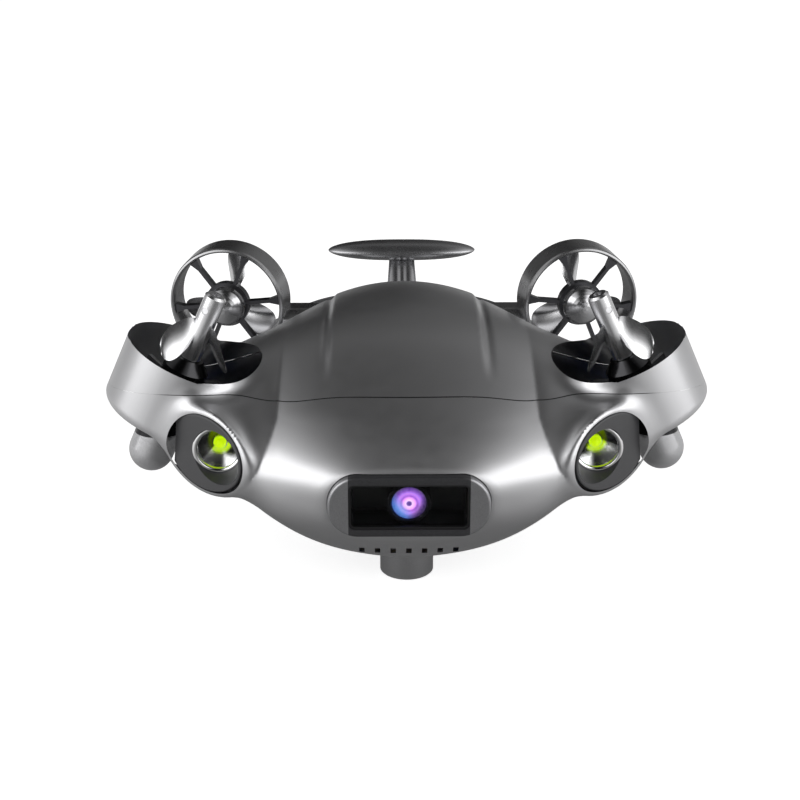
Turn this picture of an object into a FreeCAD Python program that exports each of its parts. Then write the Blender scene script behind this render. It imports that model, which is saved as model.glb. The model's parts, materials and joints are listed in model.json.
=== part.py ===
import FreeCAD, Part
import math
import os

from FreeCAD import Placement, Rotation, Vector

# A compact six-thruster underwater inspection vehicle.  X is lateral, the nose
# looks along -Y and Z is up.  The origin is under the middle of the vehicle, at
# the height of the lowest face, the bottom of the sonar pod.  Millimetres.

# Hull: one row per station along the vehicle: y, half width, top, bottom,
# height of the widest point, and the fullness of the upper and lower halves
# (2 is an ellipse, more is squarer, less is more like a wedge).
HULL_STATIONS = [
    (-188.0, 43.0, 99.0, 60.0, 81.0, 3.0, 3.0),
    (-178.0, 66.0, 106.5, 48.0, 82.0, 2.5, 2.2),
    (-162.0, 94.0, 115.5, 38.5, 85.5, 2.3, 1.55),
    (-141.0, 118.0, 122.5, 30.0, 89.0, 2.3, 1.38),
    (-120.0, 127.0, 128.5, 25.0, 93.0, 2.3, 1.45),
    (-101.5, 131.0, 132.5, 21.5, 96.0, 2.3, 1.5),
    (-72.0, 120.0, 136.5, 20.0, 98.0, 2.2, 1.6),
    (-41.0, 98.0, 138.0, 20.0, 98.0, 2.0, 1.7),
    (0.0, 75.0, 134.5, 22.0, 95.0, 2.0, 1.8),
    (40.0, 63.0, 123.5, 26.0, 88.0, 2.0, 1.8),
    (75.0, 62.0, 110.5, 31.0, 80.0, 2.0, 2.0),
    (103.0, 57.0, 100.0, 36.5, 74.0, 2.0, 2.0),
    (131.0, 43.0, 90.5, 44.0, 70.0, 2.0, 2.0),
    (158.0, 22.0, 82.0, 54.0, 68.0, 2.2, 2.2),
]
SECTION_POINTS = 28
SHELL_WALL = 2.8
WALL_SLOPE_LIMIT = 2.0

# Parting line between the shells, a plane that drops towards the tail
PART_Y = -142.0
PART_Z = 121.0
PART_DROP = 9.2
GASKET_THICK = 0.8
GASKET_INSET = 0.6

# General fits
SEAT_GAP = 0.1
RUN_GAP = 0.05
FACE_GAP = 0.4

# Thruster motors, the same in all six thrusters
MOTOR_R = 12.4
MOTOR_WALL = 2.4
SHAFT_R = 2.5
MAGNET_R = 8.2
MAGNET_FLOOR = 2.0
MOTOR_CAP = 8.0
MOTOR_CAP_WALL = 6.0
MOTOR_PLATE = 8.0
MOTOR_SHOULDER = 5.0
MOTOR_SHOULDER_DROP = 6.0
VECTOR_MAGNET_DROP = 11.0
SHAFT_TAIL = 4.0
SCREW_HUB_R = 7.0
SCREW_HUB_LENGTH = 15.0
GRUB_R = 1.9
GRUB_LENGTH = 3.0
GRUB_HEIGHT = 4.0
SCREW_SHAFT_SETBACK = 4.0
SCREW_HUB_NOSE = 6.0
SCREW_HUB_WEB = 3.5
SCREW_BLADES = 3
SCREW_BLADE_HEIGHT = 5.0
BLADE_ROOT = 2.0

# Vectored thrusters: two in the wings, two in the tail
DUCT_R = 35.5
DUCT_LIP = 2.2
DUCT_THROAT_R = 28.5
DUCT_BELL = 14.0
DUCT_LENGTH = 38.5
DUCT_EDGE = 0.8
DUCT_FOOT_EDGE = 1.5
DUCT_FOOT_SHARE = 0.55
DUCT_FLARE = 10.0
BELL_STEPS = 6
MOUNT_COLLAR = 2.0
MOUNT_SETBACK = 8.0
MOUNT_HEIGHT = 14.0
VANE_COUNT = 4
VANE_THICK = 2.4
MOTOR_TAIL = 59.5
FRONT_POS = (116.0, -101.5, 129.1)
FRONT_TILT = 24.0
REAR_POS = (62.0, 98.5, 80.0)
REAR_TILT = -20.0
IMPELLER_R = 21.5
IMPELLER_HUB_R = 5.9
IMPELLER_HUB_TOP = 37.0
IMPELLER_HUB_FOOT = -1.0
IMPELLER_HUB_BEVEL = 1.2
IMPELLER_SHAFT_SETBACK = 2.0
IMPELLER_PHASE = 40.0
IMPELLER_GRUB_TURN = 62.0
IMPELLER_GRUB_DROP = 9.0
IMPELLER_BLADES = 3
REAR_PROP_R = 27.0
REAR_MOTOR_TOP = -11.0
REAR_PROP_PHASE = 30.0

# Surge thrusters: short rings beside the hull
RING_POS = (108.0, 43.5, 112.0)
RING_R = 36.0
RING_BORE_R = 33.0
RING_LENGTH = 23.0
RING_TOE = 10.0
RING_COLLAR = 1.6
SPOKE_COUNT = 6
SPOKE_TURN = 7.5
SPOKE_SETBACK = 2.0
SPOKE_THICK = 2.2
SPOKE_CHORD = 5.0
SPOKE_FLARE = 6.0
RING_MOTOR_NOSE = 10.0
RING_MOTOR_PROUD = 1.0
RING_MOTOR_CAP = 4.0
RING_MOTOR_PLATE = 3.0
RING_MOTOR_EDGE = 1.5
RING_MOTOR_END = 0.5
RING_MAGNET_GAP = 1.0
RING_MAGNET_FLOOR = 1.5
NOSE_STEPS = 8
RING_PROP_R = 31.4
RING_PROP_PHASE = 20.0
PYLON_DEPTH = 24.0
PYLON_HEIGHT = 16.0
PYLON_DROP = 12.0
PYLON_FLAT = 0.5

# Camera in the nose
NOSE_Y = -191.5
CAMERA_Z = 81.0
FRAME_WIDTH = 82.0
FRAME_HEIGHT = 33.0
FRAME_DEPTH = 12.0
FRAME_EDGE = 1.5
FRAME_FLAT = 1.0
RECESS_WIDTH = 61.0
RECESS_HEIGHT = 24.6
RECESS_CORNER = 3.0
LINER_SETBACK = 1.0
LINER_CORNER = 2.0
LINER_WALL = 1.2
LINER_DEPTH = 22.0
WINDOW_THICK = 2.0
WINDOW_SETBACK = 2.0
BARREL_R = 13.4
LENS_R = 10.2
LENS_RIM = 0.5
LENS_RISE = 2.0
LENS_STOCK = 3.0
CUP_DEPTH = 5.0
CUP_TAPER = 3.0
NECK_GAP = 0.2
NECK_LENGTH = 8.0
SIGHT_R = 3.0
BARREL_LENGTH = 12.0
BOARD_SIZE = 26.0
BOARD_THICK = 1.6
BOARD_TRIM = 4.0
VENT_COUNT = 7
VENT_SIZE = 2.8
VENT_PITCH = 8.0
VENT_Z = 52.0
VENT_DEPTH = 30.0

# Lamps in the leading edges of the wings
LAMP_X = 99.0
LAMP_Z = 92.5
LAMP_FACE_Y = -143.0
LAMP_R = 12.6
LAMP_DEPTH = 11.0
LAMP_WALL = 1.1
LAMP_GLASS = 1.6
EMITTER_R = 3.4
LAMP_BEZEL_R = 20.9
LAMP_BEZEL_Y = -150.0
LAMP_BEZEL_SLANT = 40.0
LAMP_BEZEL_X = 105.5
LAMP_FUNNEL_R = 18.6
LAMP_FUNNEL_REACH = 32.0
LAMP_BACK_Y = -131.0
LAMP_RIM_EDGE = 1.0
REFLECTOR_FLOOR = 2.0
REFLECTOR_THROAT = 0.6
EMITTER_BACK = 3.0
EMITTER_SEAT = 2.5
EMITTER_DISC = 1.5
EMITTER_DOME = 0.6

# Sonar pod under the hull
POD_R = 15.0
POD_Y = -101.5
POD_FACE_THICK = 2.0
POD_FACE_R = 13.0
POD_EDGE = 0.5

# Carrying handle at the tail
GRIP_LENGTH = 103.0
GRIP_Y = 177.0
GRIP_Z = 104.0
GRIP_DEPTH = 28.0
GRIP_THICK = 13.0
STEM_WIDTH = 22.0
STEM_TOP_WIDTH = 17.0
STEM_FOOT_Y = 146.0
STEM_FOOT_Z = 78.0
STEM_FOOT_DEPTH = 22.0
STEM_TOP_DEPTH = 13.0
STEM_CORNER_SHARE = 0.4
STEM_SINK = 22.0
STEM_SINK_LEAN = 3.0
STEM_MIDDLE_DEPTH = 16.0
STEM_MIDDLE_RUN = 0.35
STEM_MIDDLE_RISE = 0.60
HANDLE_SCREW_LENGTH = 9.0
HANDLE_SCREW_AFT = 2.5
HANDLE_SCREW_EDGE = 2.6
HANDLE_SCREW_R = 1.9
HANDLE_HEAD_SHARE = 1.8

# Tether socket in the tail and accessory insert in the belly
SOCKET_R = 9.0
SOCKET_BODY_R = 7.0
SOCKET_BORE_R = 5.0
SOCKET_DEPTH = 11.0
SOCKET_CHAMFER = 1.0
SOCKET_LENGTH = 20.0
SOCKET_PROUD = 6.0
SOCKET_Z = 67.5
INSERT_Y = -30.0
INSERT_R = 5.0
INSERT_BORE_R = 3.2
INSERT_LENGTH = 10.0
INSERT_BORE_LENGTH = 9.0
INSERT_BOSS_WALL = 2.5
INSERT_BOSS_TOP = 34.0

# Inside: canister, battery, board, ribs
CAN_R = 31.0
CAN_WALL = 2.5
CAN_FRONT_Y = -118.0
CAN_LENGTH = 150.0
CAN_Z = 88.0
CAN_CAP_FLANGE = 4.0
CAN_CAP_PLUG = 8.0
BATTERY_WIDTH = 70.0
BATTERY_LENGTH = 118.0
BATTERY_HEIGHT = 18.0
BATTERY_FRONT_Y = -118.0
BATTERY_CORNER = 3.0
CONTROL_LENGTH = 120.0
CONTROL_THICK = 1.8
CONTROL_DROP = 8.0
RIB_THICK = 3.0
RIB_PLACES = (-105.0, -60.0, -12.0)
RIB_LEDGE = 6.0

# Screws that close the shells
SCREW_R = 1.5
SCREW_HEAD_R = 2.8
SCREW_HEAD = 2.2
BOSS_R = 4.0
SCREW_PLACES = ((60.0, -115.0), (58.0, -50.0), (44.0, 22.0), (16.0, 140.0))
SCREW_GRIP = 7.0
SCREW_SINK = 1.2
SCREW_TAP = 10.0
SCREW_SOCKET_SHARE = 0.7
SCREW_SOCKET_DEPTH = 1.2
BOSS_LAP = 2.0

UP = Vector(0, 0, 1)
FAR = 400.0
COLUMN_SIZE = 0.1
ALONG_DEGREES = 2.0
OVERSHOOT = 1.0


def save(shape, name):
    shape.exportStep("parts/" + name + ".step")


def mirrored(shape):
    return shape.mirror(Vector(0, 0, 0), Vector(1, 0, 0))


def cylinder(radius, start, direction, length):
    return Part.makeCylinder(radius, length, start, direction)


def box(size, centre):
    corner = Vector(*centre) - Vector(*size) * 0.5
    return Part.makeBox(size[0], size[1], size[2], corner)


def revolved(points):
    """Solid of revolution about Z from (radius, height) points."""
    wire = Part.makePolygon([Vector(r, 0, z) for r, z in points + points[:1]])
    return Part.Face(wire).revolve(Vector(0, 0, 0), UP, 360)


# ---------------------------------------------------------------- hull form


def power(value, exponent):
    return math.copysign(abs(value) ** exponent, value)


def section_point(station, angle):
    y, half_width, top, bottom, mid, full_top, full_bottom = station
    upper = math.sin(angle) >= 0.0
    fullness = full_top if upper else full_bottom
    height = top - mid if upper else mid - bottom
    x = half_width * power(math.cos(angle), 2.0 / fullness)
    z = mid + height * power(math.sin(angle), 2.0 / fullness)
    return Vector(x, y, z)


def section_points(index, inset):
    """Points round one station, moved inwards by inset along the skin's normal."""
    station = HULL_STATIONS[index]
    before = HULL_STATIONS[max(index - 1, 0)]
    after = HULL_STATIONS[min(index + 1, len(HULL_STATIONS) - 1)]
    points = []
    step = math.radians(ALONG_DEGREES)
    for number in range(SECTION_POINTS):
        angle = 2.0 * math.pi * (number + 0.5) / SECTION_POINTS
        point = section_point(station, angle)
        if inset > 0.0:
            around = section_point(station, angle + step) - section_point(station, angle - step)
            along = section_point(after, angle) - section_point(before, angle)
            normal = along.cross(around).normalize()
            flat = Vector(normal.x, 0, normal.z)
            grow = min(1.0 / flat.Length, WALL_SLOPE_LIMIT)
            point = point - flat.normalize() * inset * grow
        points.append(point)
    return points


def hull_form(inset, nose_cut, tail_cut):
    """Closed hull solid, inset from the outer skin and shortened at both ends."""
    wires = []
    knots = [float(number) for number in range(SECTION_POINTS + 1)]
    last = len(HULL_STATIONS) - 1
    for index in range(last + 1):
        shift = nose_cut if index == 0 else -tail_cut if index == last else 0.0
        points = [p + Vector(0, shift, 0) for p in section_points(index, inset)]
        curve = Part.BSplineCurve()
        curve.interpolate(points, PeriodicFlag=True, Parameters=knots)
        wires.append(Part.Wire([curve.toShape()]))
    return Part.makeLoft(wires, True, False)


def above_parting(offset):
    """Everything above the parting plane raised by offset."""
    block = Part.makeBox(2 * FAR, 3 * FAR, FAR, Vector(-FAR, -FAR, offset))
    block.Placement = Placement(Vector(0, PART_Y, PART_Z), Rotation(Vector(1, 0, 0), -PART_DROP))
    return block


def parting_height(y):
    return PART_Z - (y - PART_Y) * math.tan(math.radians(PART_DROP))


# ---------------------------------------------------------------- thrusters


def vector_place(position, tilt):
    """Frame of a right-hand vectored thruster: Z along its shaft, X outboard."""
    lean = math.radians(tilt)
    outboard = Vector(math.cos(lean), 0, math.sin(lean))
    shaft = Vector(-math.sin(lean), 0, math.cos(lean))
    return Placement(Vector(*position), Rotation(outboard, Vector(0, 1, 0), shaft, "ZXY"))


def ring_place():
    """Frame of the right-hand surge thruster: Z along its shaft, rearwards."""
    toe = math.radians(RING_TOE)
    shaft = Vector(-math.sin(toe), math.cos(toe), 0)
    outboard = Vector(math.cos(toe), math.sin(toe), 0)
    return Placement(Vector(*RING_POS), Rotation(outboard, UP, shaft, "ZXY"))


def placed(shape, place):
    result = shape.copy()
    result.Placement = place.multiply(shape.Placement)
    return result


def lens_wire(radius, height, chord, thick, pitch, phase):
    """Lens-shaped blade section on a plane across the blade's radius."""
    turn = math.radians(pitch)
    along = Vector(0, math.cos(turn), math.sin(turn))
    across = Vector(0, -math.sin(turn), math.cos(turn))
    centre = Vector(radius, 0, height)
    first = centre - along * (chord / 2)
    last = centre + along * (chord / 2)
    upper = Part.Arc(first, centre + across * (thick / 2), last).toShape()
    lower = Part.Arc(last, centre - across * (thick / 2), first).toShape()
    wire = Part.Wire([upper, lower])
    wire.rotate(Vector(0, 0, 0), UP, phase)
    return wire


def blade(rows, phase):
    """Blade lofted through rows of radius, height, chord, thickness, pitch."""
    return Part.makeLoft([lens_wire(*row, phase) for row in rows], True, False)


def impeller_rows():
    reach = IMPELLER_R - IMPELLER_HUB_R
    foot = IMPELLER_HUB_R - BLADE_ROOT
    return [
        (foot, 16.0, 11.0, 2.6, 62.0),
        (IMPELLER_HUB_R + 0.25 * reach, 12.0, 17.0, 2.2, 56.0),
        (IMPELLER_HUB_R + 0.60 * reach, 7.0, 18.5, 1.8, 50.0),
        (IMPELLER_HUB_R + 0.88 * reach, 3.5, 14.0, 1.4, 46.0),
        (IMPELLER_R, 2.0, 5.0, 0.8, 44.0),
    ]


def impeller():
    """Mixed-flow impeller: tall hub over broad raked blades."""
    hub = revolved([
        (SHAFT_R + SEAT_GAP / 2, IMPELLER_HUB_FOOT),
        (IMPELLER_HUB_R, IMPELLER_HUB_FOOT),
        (IMPELLER_HUB_R, IMPELLER_HUB_TOP - IMPELLER_HUB_BEVEL),
        (IMPELLER_HUB_R - IMPELLER_HUB_BEVEL, IMPELLER_HUB_TOP),
        (SHAFT_R + SEAT_GAP / 2, IMPELLER_HUB_TOP),
    ])
    step = 360.0 / IMPELLER_BLADES
    blades = [blade(impeller_rows(), -IMPELLER_PHASE - step * k) for k in range(IMPELLER_BLADES)]
    body = hub.fuse(blades)
    body = body.cut(cylinder(SHAFT_R + SEAT_GAP / 2, Vector(0, 0, -FAR), UP, 2 * FAR))
    return body.cut(impeller_grub_hole())


def impeller_grub_direction():
    return Rotation(UP, -IMPELLER_GRUB_TURN).multVec(Vector(1, 0, 0))


def impeller_grub_height():
    return IMPELLER_HUB_TOP - IMPELLER_GRUB_DROP


def impeller_grub_hole():
    start = Vector(0, 0, impeller_grub_height())
    return cylinder(GRUB_R, start, impeller_grub_direction(), 2 * IMPELLER_HUB_R)


def grub_screw(height, direction):
    start = Vector(0, 0, height) + direction * (SHAFT_R + SEAT_GAP)
    return cylinder(GRUB_R - SEAT_GAP, start, direction, GRUB_LENGTH - SEAT_GAP)


def shaft_with_magnets(top, low, magnet_low, magnet_high):
    """Shaft from low to top with the magnet drum inside the motor."""
    shaft = cylinder(SHAFT_R, Vector(0, 0, low), UP, top - low)
    drum = cylinder(MAGNET_R, Vector(0, 0, magnet_low), UP, magnet_high - magnet_low)
    return shaft.fuse(drum)


def vector_split():
    """Height where a vectored motor's barrel meets its domed cap."""
    return -MOTOR_TAIL + MOTOR_CAP


def vector_motor(top):
    """Motor barrel and its domed end, two solids, prop side up."""
    split = vector_split()
    inner = MOTOR_R - MOTOR_WALL
    barrel = revolved([
        (SHAFT_R + RUN_GAP, top),
        (SHAFT_R + RUN_GAP, top - MOTOR_PLATE),
        (inner, top - MOTOR_PLATE),
        (inner, split),
        (MOTOR_R, split),
        (MOTOR_R, top - MOTOR_SHOULDER_DROP),
        (MOTOR_R - MOTOR_SHOULDER, top),
    ])
    dome = Part.makeSphere(MOTOR_R, Vector(0, 0, -MOTOR_TAIL))
    body = cylinder(MOTOR_R, Vector(0, 0, -MOTOR_TAIL), UP, split + MOTOR_TAIL - SEAT_GAP / 2)
    dome = dome.fuse(body).removeSplitter()
    dome = dome.cut(cylinder(inner, Vector(0, 0, split - MOTOR_CAP_WALL), UP, FAR))
    return Part.makeCompound([barrel, dome])


def vector_shaft(motor_top, end):
    split = vector_split()
    magnet_top = motor_top - VECTOR_MAGNET_DROP
    return shaft_with_magnets(end, split - SHAFT_TAIL, split + MAGNET_FLOOR, magnet_top)


def impeller_rotor():
    shaft = vector_shaft(IMPELLER_HUB_FOOT - FACE_GAP, IMPELLER_HUB_TOP - IMPELLER_SHAFT_SETBACK)
    grub = grub_screw(impeller_grub_height(), impeller_grub_direction())
    return Part.makeCompound([shaft, grub])


def rear_rotor():
    base = REAR_MOTOR_TOP + FACE_GAP
    shaft = vector_shaft(REAR_MOTOR_TOP, base + SCREW_HUB_LENGTH - SCREW_SHAFT_SETBACK)
    return Part.makeCompound([shaft, grub_screw(base + GRUB_HEIGHT, Vector(1, 0, 0))])


def vector_duct():
    """Bell-mouthed duct with rounded lips."""
    mouth = DUCT_R - DUCT_LIP
    foot = DUCT_THROAT_R + (mouth - DUCT_THROAT_R) * DUCT_FOOT_SHARE
    outer = [
        (mouth, 0), (DUCT_R - DUCT_EDGE, 0), (DUCT_R, -DUCT_EDGE),
        (DUCT_R, -DUCT_LENGTH + DUCT_FOOT_EDGE), (DUCT_R - DUCT_FOOT_EDGE, -DUCT_LENGTH),
        (foot, -DUCT_LENGTH),
    ]
    bell = []
    for k in range(1, BELL_STEPS + 1):
        turn = 0.5 * math.pi * k / BELL_STEPS
        radius = DUCT_THROAT_R + (mouth - DUCT_THROAT_R) * (1.0 - math.sin(turn))
        bell.append((radius, -DUCT_BELL * (1.0 - math.cos(turn))))
    throat = [(DUCT_THROAT_R, -DUCT_LENGTH + DUCT_FLARE)]
    return revolved(outer + throat + bell[::-1])


def vane(angle, inner, outer, low, high, thick):
    length = outer - inner
    plate = box((length, thick, high - low), (inner + length / 2, 0, (low + high) / 2))
    plate.rotate(Vector(0, 0, 0), UP, angle)
    return plate


def vector_mount():
    """Collar round the motor with vanes to the duct wall."""
    low = -DUCT_LENGTH + MOUNT_SETBACK
    high = low + MOUNT_HEIGHT
    collar = cylinder(MOTOR_R + MOUNT_COLLAR, Vector(0, 0, low), UP, high - low)
    vanes = []
    for k in range(VANE_COUNT):
        angle = 360.0 / VANE_COUNT * (k + 0.5)
        inner = MOTOR_R + MOUNT_COLLAR / 2
        vanes.append(vane(angle, inner, DUCT_THROAT_R + OVERSHOOT, low, high, VANE_THICK))
    body = collar.fuse(vanes)
    body = body.common(cylinder(DUCT_THROAT_R, Vector(0, 0, low), UP, high - low))
    return body.cut(cylinder(MOTOR_R, Vector(0, 0, -FAR), UP, 2 * FAR))


def ring_duct():
    half = RING_LENGTH / 2
    lip = (RING_R - RING_BORE_R) / 2
    return revolved([
        (RING_BORE_R + lip, -half), (RING_R - 0.5, -half + 0.6), (RING_R, -half + 2.0),
        (RING_R, half - 2.0), (RING_R - 0.8, half), (RING_BORE_R + 0.8, half),
        (RING_BORE_R, half - 2.5), (RING_BORE_R, -half + 3.0), (RING_BORE_R + 0.5, -half + 0.8),
    ])


def ring_guard():
    """Collar round the motor with thin spokes that widen at the ring."""
    low = -RING_LENGTH / 2 + SPOKE_SETBACK
    collar = cylinder(MOTOR_R + RING_COLLAR, Vector(0, 0, low), UP, SPOKE_CHORD)
    spokes = []
    for k in range(SPOKE_COUNT):
        angle = SPOKE_TURN + 360.0 / SPOKE_COUNT * k
        inner = MOTOR_R + RING_COLLAR / 2
        spokes.append(vane(angle, inner, RING_BORE_R + OVERSHOOT, low, low + SPOKE_CHORD, SPOKE_THICK))
        spokes.append(spoke_flare(angle, low))
    body = collar.fuse(spokes)
    body = body.common(cylinder(RING_BORE_R, Vector(0, 0, low), UP, SPOKE_CHORD))
    return body.cut(cylinder(MOTOR_R, Vector(0, 0, -FAR), UP, 2 * FAR))


def spoke_flare(angle, low):
    half = SPOKE_THICK / 2
    wide = half + SPOKE_FLARE / 3
    points = [
        Vector(RING_BORE_R - SPOKE_FLARE, -half, low), Vector(RING_BORE_R + OVERSHOOT, -wide, low),
        Vector(RING_BORE_R + OVERSHOOT, wide, low), Vector(RING_BORE_R - SPOKE_FLARE, half, low),
    ]
    flare = Part.Face(Part.makePolygon(points + points[:1])).extrude(Vector(0, 0, SPOKE_CHORD))
    flare.rotate(Vector(0, 0, 0), UP, angle)
    return flare


def ring_nose_start():
    """Height where a surge motor's bullet nose begins."""
    return -RING_LENGTH / 2 - RING_MOTOR_PROUD


def ring_motor():
    """Bullet-nosed motor of a surge thruster, nose down in its own frame."""
    inner = MOTOR_R - MOTOR_WALL
    nose_start = ring_nose_start()
    split = nose_start + RING_MOTOR_CAP
    top = RING_MOTOR_END
    barrel = revolved([
        (SHAFT_R + RUN_GAP, top), (SHAFT_R + RUN_GAP, top - RING_MOTOR_PLATE),
        (inner, top - RING_MOTOR_PLATE), (inner, split), (MOTOR_R, split),
        (MOTOR_R, top - RING_MOTOR_EDGE), (MOTOR_R - RING_MOTOR_EDGE, top),
    ])
    profile = [(inner, split - SEAT_GAP / 2), (inner, nose_start), (0, nose_start)]
    for k in range(NOSE_STEPS + 1):
        turn = 0.5 * math.pi * k / NOSE_STEPS
        reach = nose_start - RING_MOTOR_NOSE * math.cos(turn)
        profile.append((MOTOR_R * math.sin(turn), reach))
    profile = profile + [(MOTOR_R, split - SEAT_GAP / 2)]
    nose = revolved(profile)
    return Part.makeCompound([barrel, nose])


def ring_rotor():
    floor = ring_nose_start()
    base = RING_MOTOR_END + FACE_GAP
    top = base + SCREW_HUB_LENGTH - SCREW_SHAFT_SETBACK
    magnet_top = RING_MOTOR_END - RING_MOTOR_PLATE - RING_MAGNET_GAP
    shaft = shaft_with_magnets(top, floor + RING_MAGNET_GAP, floor + RING_MAGNET_FLOOR, magnet_top)
    return Part.makeCompound([shaft, grub_screw(base + GRUB_HEIGHT, Vector(1, 0, 0))])


def screw_prop(motor_top, radius, phase):
    """Three-bladed screw with a rounded hub, next to the motor's top face."""
    base = motor_top + FACE_GAP
    tip = base + SCREW_HUB_LENGTH
    shoulder = tip - SCREW_HUB_NOSE
    profile = [(0, base), (SCREW_HUB_R, base), (SCREW_HUB_R, shoulder)]
    for k in range(1, 6):
        turn = 0.5 * math.pi * k / 5
        profile.append((SCREW_HUB_R * math.cos(turn), shoulder + SCREW_HUB_NOSE * math.sin(turn)))
    hub = revolved(profile[:-1] + [(0, tip)])
    reach = radius - SCREW_HUB_R
    middle = base + SCREW_BLADE_HEIGHT
    rows = [
        (SCREW_HUB_R - BLADE_ROOT, middle, 9.0, 2.6, 52.0),
        (SCREW_HUB_R + 0.3 * reach, middle, 15.0, 2.0, 40.0),
        (SCREW_HUB_R + 0.65 * reach, middle, 18.0, 1.6, 30.0),
        (SCREW_HUB_R + 0.9 * reach, middle, 14.0, 1.2, 25.0),
        (radius, middle, 6.0, 0.8, 23.0),
    ]
    blades = [blade(rows, phase + 360.0 / SCREW_BLADES * k) for k in range(SCREW_BLADES)]
    body = hub.fuse(blades)
    bore = cylinder(SHAFT_R + SEAT_GAP / 2, Vector(0, 0, -FAR), UP, FAR + tip - SCREW_HUB_WEB)
    body = body.cut(bore)
    body = body.common(cylinder(radius, Vector(0, 0, -FAR), UP, 2 * FAR))
    return body.cut(cylinder(GRUB_R, Vector(0, 0, base + GRUB_HEIGHT), Vector(1, 0, 0), 2 * SCREW_HUB_R))


# ---------------------------------------------------------------- nose and lamps


def rounded_block(width, height, front, back, radius, z=CAMERA_Z):
    block = box((width, back - front, height), (0, (front + back) / 2, z))
    edges = [e for e in block.Edges if abs(e.tangentAt(e.FirstParameter).y) > 0.9]
    return block.makeFillet(radius, edges)


def camera_cavity(gap):
    """Space in the nose that the camera frame and liner fill."""
    frame = rounded_block(FRAME_WIDTH + 2 * gap, FRAME_HEIGHT + 2 * gap,
                          NOSE_Y - FRAME_DEPTH, NOSE_Y + FRAME_DEPTH + gap, FRAME_HEIGHT / 2 - FRAME_FLAT)
    liner = rounded_block(RECESS_WIDTH + 2 * gap, RECESS_HEIGHT + 2 * gap,
                          NOSE_Y, NOSE_Y + LINER_DEPTH + gap, RECESS_CORNER)
    return frame.fuse(liner)


def camera_bezel():
    body = rounded_block(FRAME_WIDTH, FRAME_HEIGHT, NOSE_Y, NOSE_Y + FRAME_DEPTH,
                         FRAME_HEIGHT / 2 - FRAME_FLAT)
    rims = [e for e in body.Edges if e.BoundBox.YMax < NOSE_Y + 0.01]
    body = body.makeFillet(FRAME_EDGE, rims)
    hole = rounded_block(RECESS_WIDTH, RECESS_HEIGHT, NOSE_Y - OVERSHOOT,
                         NOSE_Y + FRAME_DEPTH + OVERSHOOT, RECESS_CORNER)
    return body.cut(hole)


def camera_liner():
    front = NOSE_Y + LINER_SETBACK
    back = NOSE_Y + LINER_DEPTH
    body = rounded_block(RECESS_WIDTH, RECESS_HEIGHT, front, back, RECESS_CORNER)
    inside = rounded_block(RECESS_WIDTH - 2 * LINER_WALL, RECESS_HEIGHT - 2 * LINER_WALL,
                           front - OVERSHOOT, back - LINER_WALL, LINER_CORNER)
    body = body.cut(inside)
    return body.cut(cylinder(LENS_R, Vector(0, back - LINER_DEPTH / 2, CAMERA_Z),
                             Vector(0, 1, 0), LINER_DEPTH))


def camera_window():
    front = NOSE_Y + LINER_SETBACK + WINDOW_SETBACK
    return rounded_block(RECESS_WIDTH - 2 * LINER_WALL, RECESS_HEIGHT - 2 * LINER_WALL,
                         front, front + WINDOW_THICK, LINER_CORNER)


def lens_front():
    return NOSE_Y + LINER_DEPTH - LINER_WALL - BARREL_LENGTH


def lens_cup():
    """Tapered seat in the barrel that the lens fills."""
    start = Vector(0, lens_front(), CAMERA_Z)
    return Part.makeCone(LENS_R - LENS_RIM, LENS_R - CUP_TAPER, CUP_DEPTH, start, Vector(0, 1, 0))


def camera_barrel():
    """Barrel in the liner with a neck through its back wall."""
    front = lens_front()
    outer = cylinder(min(BARREL_R, RECESS_HEIGHT / 2 - LINER_WALL), Vector(0, front, CAMERA_Z),
                     Vector(0, 1, 0), BARREL_LENGTH)
    neck = cylinder(LENS_R - NECK_GAP, Vector(0, front, CAMERA_Z), Vector(0, 1, 0),
                    BARREL_LENGTH + NECK_LENGTH)
    body = outer.fuse(neck)
    sight = cylinder(SIGHT_R, Vector(0, front, CAMERA_Z), Vector(0, 1, 0), FAR)
    return body.cut(lens_cup()).cut(sight)


def camera_lens():
    """Domed front glass that fills the barrel's cup."""
    front = lens_front()
    rim = LENS_R - LENS_RIM
    ball_r = (rim * rim + LENS_RISE * LENS_RISE) / (2 * LENS_RISE)
    cap = Part.makeSphere(ball_r, Vector(0, front + ball_r - LENS_RISE, CAMERA_Z))
    cap = cap.common(cylinder(rim, Vector(0, front - LENS_STOCK, CAMERA_Z), Vector(0, 1, 0), LENS_STOCK))
    return cap.fuse(lens_cup()).removeSplitter()


def sensor_board():
    back = lens_front() + BARREL_LENGTH + NECK_LENGTH
    return box((BOARD_SIZE, BOARD_THICK, BOARD_SIZE - BOARD_TRIM), (0, back + BOARD_THICK / 2, CAMERA_Z))


def vents():
    cuts = []
    for k in range(VENT_COUNT):
        x = (k - (VENT_COUNT - 1) / 2) * VENT_PITCH
        cuts.append(box((VENT_SIZE, VENT_DEPTH, VENT_SIZE), (x, NOSE_Y + FRAME_DEPTH, VENT_Z)))
    return cuts


def lamp_pocket(gap):
    start = Vector(LAMP_BEZEL_X, -FAR, LAMP_Z)
    return cylinder(LAMP_BEZEL_R + gap, start, Vector(0, 1, 0), FAR + LAMP_BACK_Y + gap)


def circle_wire(radius, centre):
    return Part.Wire([Part.Circle(centre, Vector(0, 1, 0), radius).toShape()])


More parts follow.
